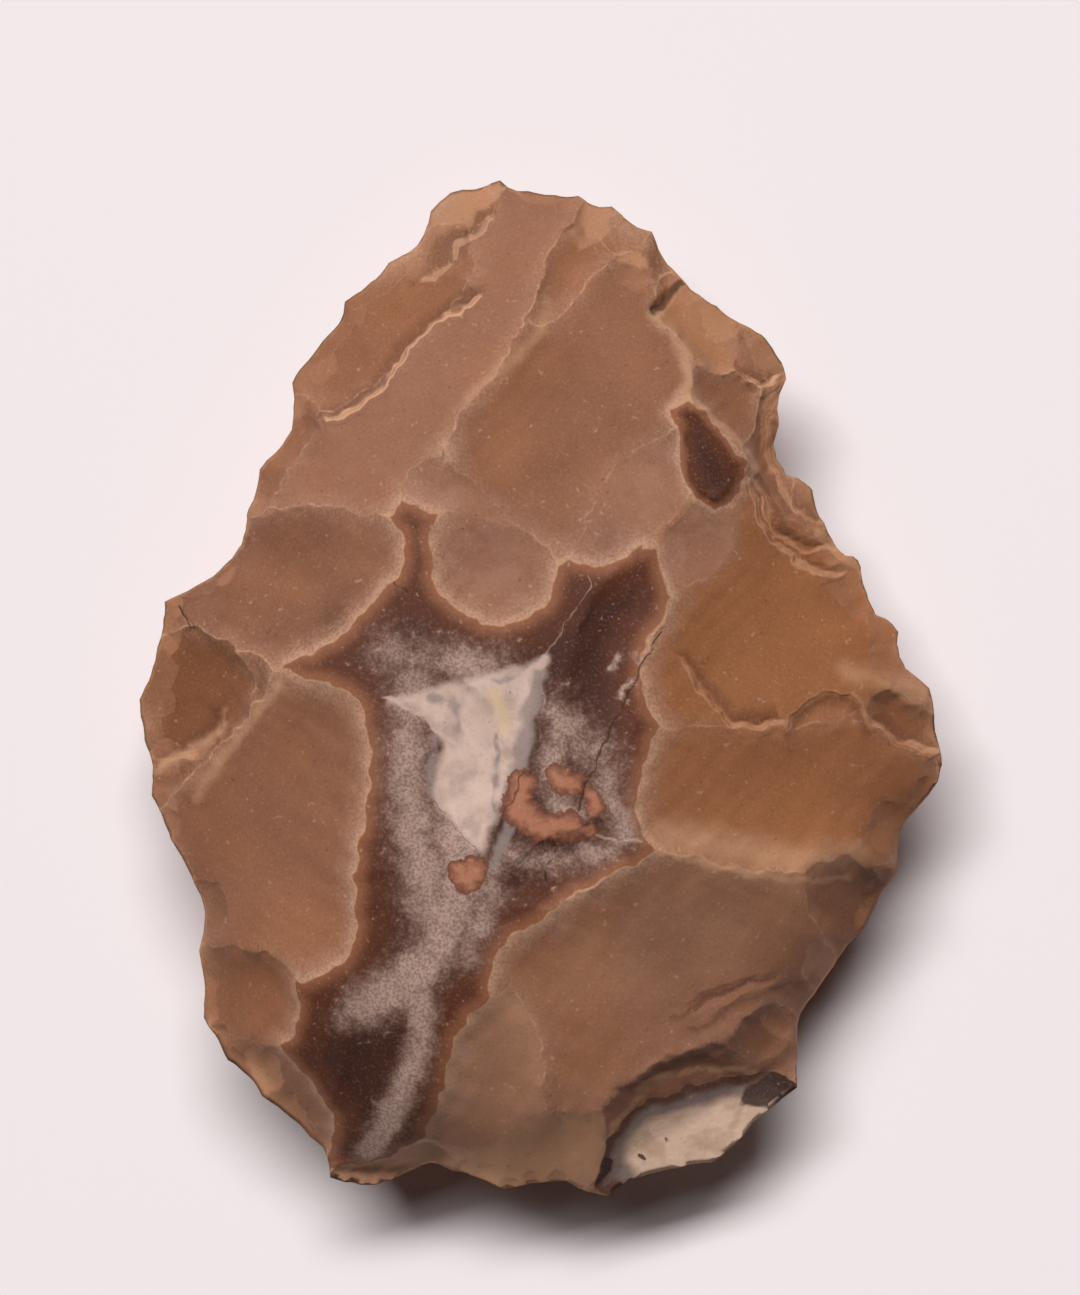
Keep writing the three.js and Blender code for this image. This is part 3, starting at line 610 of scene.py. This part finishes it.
def refine(piece):
    """Divides the mesh again along the upper face's ridges, chips, ledges, cracks and veins."""
    chips = upper_retouch()
    for reach in DETAIL_REACH:
        mesh = piece.data
        xyz = corners_in_millimetres(mesh)
        corners = [tuple(polygon.vertices) for polygon in mesh.polygons]
        middle = np.array([xyz[list(ring)].mean(0) for ring in corners])
        x, y = ragged(middle[:, 0], middle[:, 1])
        apart = np.full(len(corners), FAR)
        for run in [*LEDGES.values(), *CRACKS, *VEINS]:
            apart = np.minimum(apart, np.abs(run_distance(eased(run["run"]), x, y)[0]))
        chosen = apart < reach
        owner = cuts_at(UPPER, xyz[:, 0], xyz[:, 1]).argmax(0)
        owner = owner + FACE_STEP * (chipping(chips, xyz[:, 0], xyz[:, 1])[0] > 0)
        chosen |= [len(set(owner[list(ring)])) > 1 for ring in corners]
        chosen &= on_upper_face(middle)
        for kind in (mesh.vertices, mesh.edges, mesh.polygons):
            kind.foreach_set("select", np.zeros(len(kind), dtype=bool))
        mesh.polygons.foreach_set("select", chosen)
        bpy.ops.object.mode_set(mode="EDIT")
        bpy.ops.mesh.select_mode(type="FACE")
        bpy.ops.mesh.subdivide(number_cuts=1, smoothness=0)
        bpy.ops.mesh.select_all(action="SELECT")
        bpy.ops.mesh.quads_convert_to_tris()
        bpy.ops.object.mode_set(mode="OBJECT")


def set_attribute(mesh, name, values):
    layer = mesh.attributes.new(name, "FLOAT", "POINT")
    layer.data.foreach_set("value", np.ascontiguousarray(values, dtype=np.float32))


def border_points(mesh, xyz, value):
    """Places on the mesh's edges where a value changes its sign."""
    pairs = np.empty(len(mesh.edges) * 2, dtype=np.int32)
    mesh.edges.foreach_get("vertices", pairs)
    pairs = pairs.reshape(-1, 2)
    a, b = value[pairs[:, 0]], value[pairs[:, 1]]
    crossing = (a > 0) != (b > 0)
    a, b, pairs = a[crossing], b[crossing], pairs[crossing]
    share = (a / (a - b))[:, None]
    return xyz[pairs[:, 0]] * (1 - share) + xyz[pairs[:, 1]] * share


def nearest(places, xyz):
    """The distance from each point to the nearest of some places, and which place that is."""
    tree = kdtree.KDTree(len(places))
    for i, place in enumerate(places):
        tree.insert(place, i)
    tree.balance()
    found = [tree.find(place) for place in xyz]
    return np.array([hit[2] for hit in found]), np.array([hit[1] for hit in found])


def ridge_places(mesh, xyz, owner, upper, clear):
    """Middles of the mesh's edges that cross a ridge, and how clearly that ridge shows."""
    pairs = np.empty(len(mesh.edges) * 2, dtype=np.int32)
    mesh.edges.foreach_get("vertices", pairs)
    i, j = pairs.reshape(-1, 2).T
    crossing = (owner[i] != owner[j]) & (upper[i] == upper[j])
    i, j = i[crossing], j[crossing]
    return (xyz[i] + xyz[j]) / 2, np.minimum(clear[i], clear[j])


def inside_outline(outline, x, y):
    """Signed distance to a closed outline, above zero inside it."""
    closed = np.array(outline + outline[:1], float)
    apart = np.abs(run_distance(closed, x, y)[0])
    inside = np.zeros(x.shape, dtype=bool)
    for (ax, ay), (bx, by) in zip(closed[:-1], closed[1:]):
        spans = (ay > y) != (by > y)
        inside ^= spans & (x < (bx - ax) * (y - ay) / np.where(spans, by - ay, 1) + ax)
    return np.where(inside, apart, -apart)


def along_runs(runs, strengths, x, y):
    """For the nearest of several runs: signed distance, plain distance with the ends closed,
    and strength."""
    side, near, strong = np.full(x.shape, FAR), np.full(x.shape, FAR), np.zeros(x.shape)
    for run, strength in zip(runs, strengths):
        apart, share = run_distance(eased(run), x, y)
        past = np.clip(END_SHARE - np.minimum(share, 1 - share), 0, 1)
        closed = np.abs(apart) + END_PUSH * past
        closer = closed < near
        side = np.where(closer, apart, side)
        strong = np.where(closer, strength, strong)
        near = np.where(closer, closed, near)
    return side, near, strong


def marked(streaks, x, y):
    """How deep each place is in a set of marks: their strength in the middle, 0 at the border."""
    deepest = np.full(x.shape, -1.0)
    for mark in streaks:
        apart, _ = run_distance(eased(mark["run"]), x, y)
        deepest = np.maximum(deepest, mark["strength"] * (1 - np.abs(apart) / mark["wide"]))
    return deepest


OLD_SKIN_END = 28  # past this along +X no old skin is left
OLD_SKIN_CORNER = (11, 15)  # and so it is past both of these, along +X and +Y
FACET_CORE = 1.8  # how fast the dark facet turns from rim to core, beside the main core
CORTEX_SHARE = 0.35  # the lower face has cortex where the scar above it is this deep, as a share
TINT_BLEND = {"tone": 0.1, "warmth": 0.4, "haze": 0.4}  # how softly each passes over a ridge
UNFLAKED_TINT = {"tone": 0, "warmth": 0, "haze": 0.7}  # of the lower face's unflaked middle


def note_skin(mesh, xyz, upper, top_cuts, bottom_cuts):
    """How far inside the old core's skin, and inside the cortex, each place is."""
    x, y = xyz[:, 0], xyz[:, 1]
    fresh = np.array([not flake["old"] for flake in UPPER_SCARS] + [False])
    old_value = np.where(upper, -top_cuts[fresh].max(0), -bottom_cuts[:-1].max(0))
    corner_x, corner_y = OLD_SKIN_CORNER
    old_value[(x > OLD_SKIN_END) | ((x > corner_x) & (y > corner_y))] = -1
    old_mm, _ = nearest(border_points(mesh, xyz, old_value), xyz)
    old_mm = old_mm * np.where(old_value > 0, 1, -1)
    facet_mm = FACET_CORE * inside_outline(DARK_FACET, *ragged(x, y))
    set_attribute(mesh, "old_mm", np.where(upper, np.maximum(old_mm, facet_mm), old_mm))

    cortex_row = UPPER_SCARS.index(CORTEX_FACE)
    others = np.delete(top_cuts, cortex_row, 0).max(0)
    under = cut_depth(CORTEX_FACE, x, y) - CORTEX_FACE["deep"] * CORTEX_SHARE
    cortex_value = np.where(upper, top_cuts[cortex_row] - others, under)
    cortex_mm, _ = nearest(border_points(mesh, xyz, cortex_value), xyz)
    set_attribute(mesh, "cortex_mm", cortex_mm * np.where(cortex_value > 0, 1, -1))


def note_ridges(mesh, xyz, upper, top_cuts, bottom_cuts):
    """How far the nearest ridge is, and how clearly it shows."""
    owner = np.where(upper, top_cuts.argmax(0), FACE_STEP + bottom_cuts.argmax(0))
    clear = np.where(upper, shared_by_scars(UPPER, top_cuts, "line", 1.0),
                     shared_by_scars(LOWER, bottom_cuts, "line", 1.0))
    places, strength = ridge_places(mesh, xyz, owner, upper, clear)
    ridge_mm, which = nearest(places, xyz)
    set_attribute(mesh, "ridge_mm", ridge_mm)
    set_attribute(mesh, "ridge_line", strength[which])


def note_chips(mesh, xyz, chip):
    """How deep each place is chipped, and how far the border of a chip and the edge are."""
    chip_mm, _ = nearest(border_points(mesh, xyz, chip - CHIP_BORDER), xyz)
    set_attribute(mesh, "chip_mm", chip_mm)
    set_attribute(mesh, "chipped", chip)
    x, y = xyz[:, 0], xyz[:, 1]
    set_attribute(mesh, "edge_mm", edge_radius(np.arctan2(y, x)) - np.hypot(x, y))


def note_marks(mesh, x, y, upper):
    """The ledges, and the marks on the upper face."""
    far = np.where(upper, 0, FAR)
    runs, glints = zip(*((ledge["run"], ledge["glint"]) for ledge in LEDGES.values()))
    side, near, glint = along_runs(runs, glints, *ragged(x, y))
    set_attribute(mesh, "ledge_side", side)
    set_attribute(mesh, "ledge_near", near + far)
    set_attribute(mesh, "glint", glint)
    set_attribute(mesh, "cream_mm", inside_outline(CREAM_PATCH, x, y) - 2 * far)
    for name, streaks in MARKS.items():
        depth = marked(streaks, *wander(x, y, FINE_WANDER_X, FINE_WANDER_Y))
        set_attribute(mesh, name, depth - far)


def knap(piece):
    """Moves the fine mesh onto the flaked surface and notes, at each point, what the finish needs.
    Every noted distance is in millimetres, from the surface before the chips bite its outline."""
    mesh = piece.data
    xyz = corners_in_millimetres(mesh)
    x, y = xyz[:, 0].copy(), xyz[:, 1].copy()
    upper = on_upper_face(xyz)
    upper_chips, lower_chips = upper_retouch(), edge_chips(CHIP_SEED + 1)
    wx, wy = wander(x, y, FINE_WANDER_X, FINE_WANDER_Y)
    upper_chipped, upper_light = chipping(upper_chips, wx, wy)
    lower_chipped, lower_light = chipping(lower_chips, wx, wy)
    chipped = upper_chipped, lower_chipped
    top, top_cuts = face_height(UPPER, x, y, chipped)
    bottom, bottom_cuts = face_height(LOWER, x, y, chipped)
    xyz[:, 2] = np.where(upper, top, bottom)
    shrink = 1 - bitten_in(upper_chips, x, y) / np.maximum(np.hypot(x, y), 1)
    moved = np.column_stack([x * shrink, y * shrink, xyz[:, 2]])
    mesh.vertices.foreach_set("co", (moved * MM).ravel())

    note_skin(mesh, xyz, upper, top_cuts, bottom_cuts)
    note_ridges(mesh, xyz, upper, top_cuts, bottom_cuts)
    note_chips(mesh, xyz, np.where(upper, *chipped))
    for key, blend in TINT_BLEND.items():
        value = np.where(upper, shared_by_scars(UPPER, top_cuts, key, 0.0, blend),
                         shared_by_scars(LOWER, bottom_cuts, key, UNFLAKED_TINT[key], blend))
        # each scar's and chip's tone, partly painted light and shade
        if key == "tone":
            value = value + np.where(upper, upper_light, lower_light)
        set_attribute(mesh, key, value)
    note_marks(mesh, x, y, upper)
    mesh.update()


# ---------------------------------------------------------------------------------------------
# Finish
# ---------------------------------------------------------------------------------------------
def linear(hex_colour):
    """An sRGB hex colour as linear RGBA."""
    channels = [int(hex_colour[i:i + 2], 16) / 255 for i in (1, 3, 5)]
    return [c / 12.92 if c <= 0.04045 else ((c + 0.055) / 1.055) ** 2.4 for c in channels] + [1.0]


def node(tree, kind, inputs, out=0, **settings):
    """Adds a node, fills its inputs with values or other nodes' outputs, and gives one output."""
    made = tree.nodes.new(kind)
    for key, value in settings.items():
        setattr(made, key, value)
    for key, value in inputs.items():
        if isinstance(value, bpy.types.NodeSocket):
            tree.links.new(value, made.inputs[key])
        else:
            made.inputs[key].default_value = value
    return made.outputs[out]


def new_material(name):
    material = bpy.data.materials.new(name)
    material.use_nodes = True
    tree = material.node_tree
    return material, tree, tree.nodes["Principled BSDF"]


SPAN_ENDS = ("Value", "From Min", "From Max", "To Min", "To Max")
# Sizes of the pattern and heights of its relief, in millimetres.
GRAIN = 0.32  # flint's own grain is finer: this is the finest that shows
FLECK = 0.8  # specks, small pits and the wander of thin lines
MOTTLE = 2.6  # patches of dust and stain
CLOUD = 9.0  # lighter and darker stretches of a scar
CAST = 16.0  # orange and olive stretches of the stone
LIP_RELIEF = 0.2
GRAIN_RELIEF = 0.008
PIT_RELIEF = 0.08
# Roughness, of the clean stone and of the old skin, and how far it varies.
SATIN_ROUGHNESS = 0.55
DULL_ROUGHNESS = 0.78
UNEVEN_ROUGHNESS = 0.16
NOTED = ("old_mm", "ridge_mm", "ridge_line", "chip_mm", "chipped", "edge_mm", "cortex_mm", "tone",
         "warmth", "haze", "ledge_side", "ledge_near", "glint", "cream_mm", *MARKS)


def flint_masks(tree, noise, note):
    """How strongly each part of the finish shows at each place, from 0 to 1."""
    # Noise shifts each value, so that no border is ruled: [noise, how far, value].
    shifts = {
        "tone": ("cloud", 0.8, "tone"),
        "ridge": ("fleck", 0.25, "ridge_mm"),
        "ridge wide": ("mottle", 3.0, "ridge_mm"),
        "old": ("fleck", 0.2, "old_mm"),
        "old wide": ("mottle", 2.0, "old_mm"),
        "cortex": ("fleck", 0.3, "cortex_mm"),
        "cortex wide": ("mottle", 1.6, "cortex_mm"),
        "edge": ("fleck", 1.0, "edge_mm"),
        "cream": ("mottle", 2.0, "cream_mm"),
        "rust": ("fleck", 0.9, "rust"),
        "frost": ("fleck", 1.3, "frost"),
        "frost mottled": ("mottle", 1.6, "frost"),
        "slate": ("mottle", 0.8, "slate"),
        "vein": ("mottle", 0.8, "vein"),
        "cortex_dark_and_shadow": ("mottle", 0.6, "cortex_dark_and_shadow"),
        "ledge": ("fleck", 0.3, "ledge_side"),
        "ledge wide": ("mottle", 1.4, "ledge_side"),
        "wear_and_highlight": ("mottle", 0.6, "wear_and_highlight"),
    }
    moved = {name: node(tree, "ShaderNodeMath", {0: noise[by], 1: far, 2: note[value]},
                        operation="MULTIPLY_ADD")
             for name, (by, far, value) in shifts.items()}

    # Each mask is a smooth step: [value, from, to, lowest, highest].
    spans = {
        # light and dark follow each scar's tone, so they are partly painted light and shade
        "light": (moved["tone"], 0.4, 1.4, 0.0, 1.0),
        "dark": (moved["tone"], 0.4, -0.6, 0.0, 1.0),
        "warm": (note["warmth"], 0.0, 1.0, 0.0, 0.8),
        "orange cast": (noise["cast"], 0.5, 0.65, 0.0, 0.35),
        "olive cast": (noise["cast"], 0.5, 0.35, 0.0, 0.2),
        "dusty": (note["haze"], 0.0, 1.0, 0.0, 0.8),
        "dust patches": (noise["mottle"], 0.42, 0.62, 0.4, 1.0),
        "grain light": (noise["grain"], 0.5, 0.8, 0.0, 0.1),
        "grain dark": (noise["grain"], 0.5, 0.2, 0.0, 0.12),
        "speck": (noise["fleck"], 0.66, 0.75, 0.0, 0.3),
        "pit": (noise["fleck"], 0.3, 0.25, 0.0, 0.35),
        # ridge: a pale line on the ridges, partly crushed stone, partly painted highlight
        "ridge": (moved["ridge"], 0.3, 0.14, 0.0, 0.75),
        "ridge breaks": (noise["mottle"], 0.4, 0.55, 0.25, 1.0),
        # dust near the ridges, and painted light where the scars curve up to them
        "ridge dust and painted light": (moved["ridge wide"], 3.8, 1.2, 0.0, 0.5),
        "dust grains": (noise["grain"], 0.35, 0.65, 0.55, 1.0),
        # halo and halo line: dust and painted light along the old core's border, the line a painted
        # highlight
        "halo": (moved["old wide"], -2.6, 0.8, 0.0, 0.6),
        "halo line": (moved["old"], -1.3, -0.1, 0.0, 0.45),
        # painted light along the thin outline: light shining through it and catching it
        "edge": (moved["edge"], 1.1, 0.5, 0.0, 0.6),
        "chip": (note["chipped"], 0.0, 0.1, 0.0, 0.3),
        # painted highlight along each chip's border
        "chip rim highlight": (note["chip_mm"], 0.14, 0.04, 0.0, 0.15),
        # painted highlight on the ledges' lips
        "ledge lip highlight": (moved["ledge"], -0.1, 0.08, 0.0, 0.6),
        "ledge lip highlight end": (moved["ledge wide"], 1.25, 0.9, 0.0, 1.0),
        "ledge near": (note["ledge_near"], 0.9, 0.5, 0.0, 1.0),
        "ledge shade": (moved["ledge"], 0.5, 0.9, 0.0, 0.5),
        "ledge shade end": (note["ledge_near"], 2.4, 0.9, 0.0, 1.0),
        "old": (moved["old"], 0.0, 0.3, 0.0, 1.0),
        "old rim": (moved["old"], 0.2, 2.1, 0.0, 1.0),
        "old deep": (moved["old wide"], 3.2, 6.0, 0.0, 1.0),
        "old middle": (moved["old wide"], 3.0, 5.4, 0.0, 1.0),
        "frost": (moved["frost"], 0.4, 1.6, 0.0, 0.9),
        "frost thick": (moved["frost mottled"], 1.1, 1.9, 0.0, 0.65),
        "slate": (moved["slate"], 0.4, 1.1, 0.0, 0.8),
        "vein": (moved["vein"], 0.5, 1.1, 0.0, 0.7),
        "cream": (moved["cream"], 0.4, 1.8, 0.0, 0.95),
        "cream stain": (noise["mottle"], 0.4, 0.72, 0.0, 0.7),
        "yolk": (note["yolk"], 0.0, 1.0, 0.0, 0.5),
        "rust": (moved["rust"], 0.42, 0.56, 0.0, 0.95),
        "rust middle": (moved["rust"], 0.5, 1.3, 0.0, 1.0),
        # painted shade in the cracks
        "crack": (note["crack"], 0.0, 0.7, 0.0, 0.75),
        # the cortex's dark corner and pits, and the painted shadow of its slot
        "cortex_dark_and_shadow": (moved["cortex_dark_and_shadow"], 0.3, 0.6, 0.0, 0.9),
        "cortex": (moved["cortex"], 0.0, 0.3, 0.0, 1.0),
        "cortex band": (moved["cortex wide"], 1.5, 2.9, 0.0, 1.0),
        "cortex inner": (moved["cortex wide"], 3.1, 4.9, 0.0, 1.0),
        "cortex stain": (noise["mottle"], 0.46, 0.66, 0.0, 0.5),
        "ledge step": (note["ledge_side"], 0.0, 0.3, 0.5, -0.5),
        # painted highlights over ridges and slopes, and pale worn ridges
        "wear_and_highlight": (moved["wear_and_highlight"], 0.2, 1.2, 0.0, 0.6),
    }
    mask = {name: node(tree, "ShaderNodeMapRange", dict(zip(SPAN_ENDS, span)), "Result",
                       interpolation_type="SMOOTHSTEP")
            for name, span in spans.items()}

    # Masks that hold only where another holds too, worked out in this order.
    both = (
        ("dusty", mask["dust patches"]),
        ("frost thick", mask["dust grains"]),
        ("frost", mask["dust grains"]),
        ("ridge", mask["ridge breaks"]),
        ("ridge", note["ridge_line"]),
        ("ridge dust and painted light", mask["dust grains"]),
        ("halo", mask["dust grains"]),
        ("halo line", mask["dust grains"]),
        ("ridge dust and painted light", note["ridge_line"]),
        ("ledge lip highlight", mask["ledge lip highlight end"]),
        ("ledge lip highlight", mask["ledge near"]),
        ("ledge lip highlight", note["glint"]),
        ("ledge step", note["glint"]),
        ("ledge shade", mask["ledge shade end"]),
        ("cortex stain", mask["cortex inner"]),
        ("cream stain", mask["cream"]),
        ("ledge step", mask["ledge near"]),
        ("old middle", note["haze"]),
    )
    for name, other in both:
        mask[name] = node(tree, "ShaderNodeMath", {0: mask[name], 1: other}, operation="MULTIPLY")
    return mask


def flint_colour(tree, mask):
    """Each paint has a ground colour and coats that go on in turn: [mask, colour]. A ground or a
    coat may be an earlier paint. The last is the stone."""
    recipes = {
        "scars": ("#8c5e47", (
            # light and dark: each scar's tone, partly painted light and shade
            ("orange cast", "#99633f"), ("olive cast", "#7f5d48"), ("light", "#bb8b6a"),
            ("dark", "#4f3023"), ("warm", "#985f39"), ("dusty", "#9a7260"),
            # the haze by the ridges and the core's border: dust and painted light; the halo line a
            # painted highlight
            ("ridge dust and painted light", "#aa806a"), ("halo", "#a98069"), ("halo line", "#c49a80"),
            # a painted highlight on the chips' borders
            ("ledge shade", "#5f3a29"), ("chip", "#a77558"), ("chip rim highlight", "#bd9070"),
            # painted highlights over ridges and slopes and on ledge lips; the ridge line is partly
            # crushed stone
            ("wear_and_highlight", "#bd9070"), ("ledge lip highlight", "#dfab88"), ("ridge", "#c09571"),
            # painted light along the thin edge
            ("edge", "#b4845f"))),
        "rust": ("#6f4130", (("rust middle", "#ac7257"),)),
        "core": ("#88563d", (
            ("old rim", "#583122"), ("old deep", "#472a22"), ("old middle", "#85655a"),
            ("frost", "#896a5e"), ("frost thick", "#bfa193"), ("cream", "#d2b5a6"),
            ("cream stain", "#a0897f"), ("yolk", "#d9b98d"), ("slate", "#8c7b75"),
            ("vein", "#c6a899"), ("rust", "rust"))),
        # the rind's dark ground, the cortex's outer band, is partly painted shade of its concave rim
        "rind": ("#6a4a3d", (
            ("cortex band", "#8f7971"), ("cortex inner", "#e2bfa6"), ("cortex stain", "#b48f77"),
            # the cortex's dark corner and pits, and the painted shadow of its slot
            ("cortex_dark_and_shadow", "#43302b"))),
        "stone": ("scars", (
            ("old", "core"), ("cortex", "rind"), ("grain light", "#c9a183"),
            ("grain dark", "#46291d"), ("speck", "#c3a088"), ("pit", "#4f2f22"),
            # painted shade in the cracks
            ("crack", "#3a2117"))),
    }
    paint = {}
    for name, (ground, coats) in recipes.items():
        colour = paint[ground] if ground in paint else linear(ground)
        for coat, tint in coats:
            over = paint[tint] if tint in paint else linear(tint)
            colour = node(tree, "ShaderNodeMix", {"Factor": mask[coat], "A": colour, "B": over},
                          "Result", data_type="RGBA")
        paint[name] = colour
    return colour


def flint_relief(tree, noise, step, dull):
    """Relief too fine for the mesh: the ledges' sharp lips, grain, and pits in the old skin."""
    lips = node(tree, "ShaderNodeBump",
                {"Strength": 1.0, "Distance": LIP_RELIEF * MM, "Height": step}, "Normal")
    grain = node(tree, "ShaderNodeBump",
                 {"Strength": 0.5, "Distance": GRAIN_RELIEF * MM, "Height": noise["grain"],
                  "Normal": lips}, "Normal")
    pits = node(tree, "ShaderNodeMath", {0: noise["fleck"], 1: dull}, operation="MULTIPLY")
    return node(tree, "ShaderNodeBump",
                {"Strength": 0.6, "Distance": PIT_RELIEF * MM, "Height": pits,
                 "Normal": grain}, "Normal")


def knapped_flint():
    """Brown flint, knapped by hard and soft hammer: shell-like scars with a satin shine that age
    has dulled, pale crushed ridges with painted highlights, painted light and shade on the scars,
    and an old, mottled skin in the middle and at the butt."""
    material, tree, shader = new_material("knapped_flint")
    place = node(tree, "ShaderNodeTexCoord", {}, "Object")
    note = {name: node(tree, "ShaderNodeAttribute", {}, "Fac", attribute_name=name)
            for name in NOTED}
    noise = {name: node(tree, "ShaderNodeTexNoise",
                        {"Vector": place, "Scale": 1 / (size * MM), "Detail": detail,
                         "Roughness": 0.5})
             for name, size, detail in (("grain", GRAIN, 1.0), ("fleck", FLECK, 2.0),
                                        ("mottle", MOTTLE, 3.0), ("cloud", CLOUD, 2.0),
                                        ("cast", CAST, 1.0))}
    mask = flint_masks(tree, noise, note)
    tree.links.new(flint_colour(tree, mask), shader.inputs["Base Color"])

    dull = node(tree, "ShaderNodeMath", {0: mask["old middle"], 1: mask["cortex"]},
                operation="MAXIMUM")
    rough = node(tree, "ShaderNodeMapRange",
                 {"Value": dull, "To Min": SATIN_ROUGHNESS, "To Max": DULL_ROUGHNESS}, "Result")
    rough = node(tree, "ShaderNodeMath", {0: noise["mottle"], 1: UNEVEN_ROUGHNESS, 2: rough},
                 operation="MULTIPLY_ADD")
    tree.links.new(rough, shader.inputs["Roughness"])
    shader.inputs["IOR"].default_value = 1.54
    shader.inputs["Specular IOR Level"].default_value = 0.1
    relief = flint_relief(tree, noise, mask["ledge step"], dull)
    tree.links.new(relief, shader.inputs["Normal"])
    return material


def plain_floor():
    """A matt, pale studio surface, three metres across."""
    bpy.ops.mesh.primitive_plane_add(size=3)
    floor = bpy.context.object
    floor.name = "floor"
    material, _, shader = new_material("matt_floor")
    shader.inputs["Base Color"].default_value = linear("#efe6e7")
    shader.inputs["Roughness"].default_value = 0.9
    shader.inputs["Specular IOR Level"].default_value = 0.1
    floor.data.materials.append(material)


# ---------------------------------------------------------------------------------------------
# Light and camera
# ---------------------------------------------------------------------------------------------
def soft_lamp(name, place, wide, high, watts, colour="#ffffff"):
    """A soft box that faces the stone. A wide one blurs the shadows at the stone's sides."""
    lamp = bpy.data.lights.new(name, "AREA")
    lamp.energy = watts
    lamp.shape = "RECTANGLE"
    lamp.size = wide
    lamp.size_y = high
    lamp.color = linear(colour)[:3]
    holder = bpy.data.objects.new(name, lamp)
    holder.location = place
    holder.rotation_euler = (-Vector(place)).to_track_quat("-Z", "Y").to_euler()
    bpy.context.collection.objects.link(holder)


def studio():
    """Two wide soft boxes past the tip, so that the shadow falls below the butt."""
    scene = bpy.context.scene
    scene.view_settings.view_transform = "Standard"
    world = bpy.data.worlds.new("pale_room")
    world.use_nodes = True
    world.node_tree.nodes["Background"].inputs["Color"].default_value = linear("#fff6f6")
    world.node_tree.nodes["Background"].inputs["Strength"].default_value = 0.02
    scene.world = world
    soft_lamp("key", (-1.1, 4.1, 6.4), 6.5, 1.5, 590)
    soft_lamp("panel", (-1.5, 3.5, 6.5), 5.0, 3.2, 170)


LENS = 110
FRAME_LONG_SIDE = 142.45 * MM  # what the picture's longer side spans, level with the worked edge
FRAME_MIDDLE = Vector((0, 4.455 * MM, EDGE_PLANE * MM))


def camera():
    """Looks straight down on the stone, tip up."""
    data = bpy.data.cameras.new("camera")
    data.lens = LENS
    holder = bpy.data.objects.new("camera", data)
    distance = FRAME_LONG_SIDE * LENS / data.sensor_width
    holder.location = FRAME_MIDDLE + Vector((0, 0, distance))
    bpy.context.collection.objects.link(holder)
    bpy.context.scene.camera = holder


camera()
studio()
plain_floor()
stone = fine_copy("hand_axe", "knapped_stone")
refine(stone)
knap(stone)
stone.data.materials.clear()
stone.data.materials.append(knapped_flint())
bpy.ops.object.shade_smooth_by_angle(angle=math.radians(SHARP_ANGLE))
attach(stone, "root")
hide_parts("hand_axe")
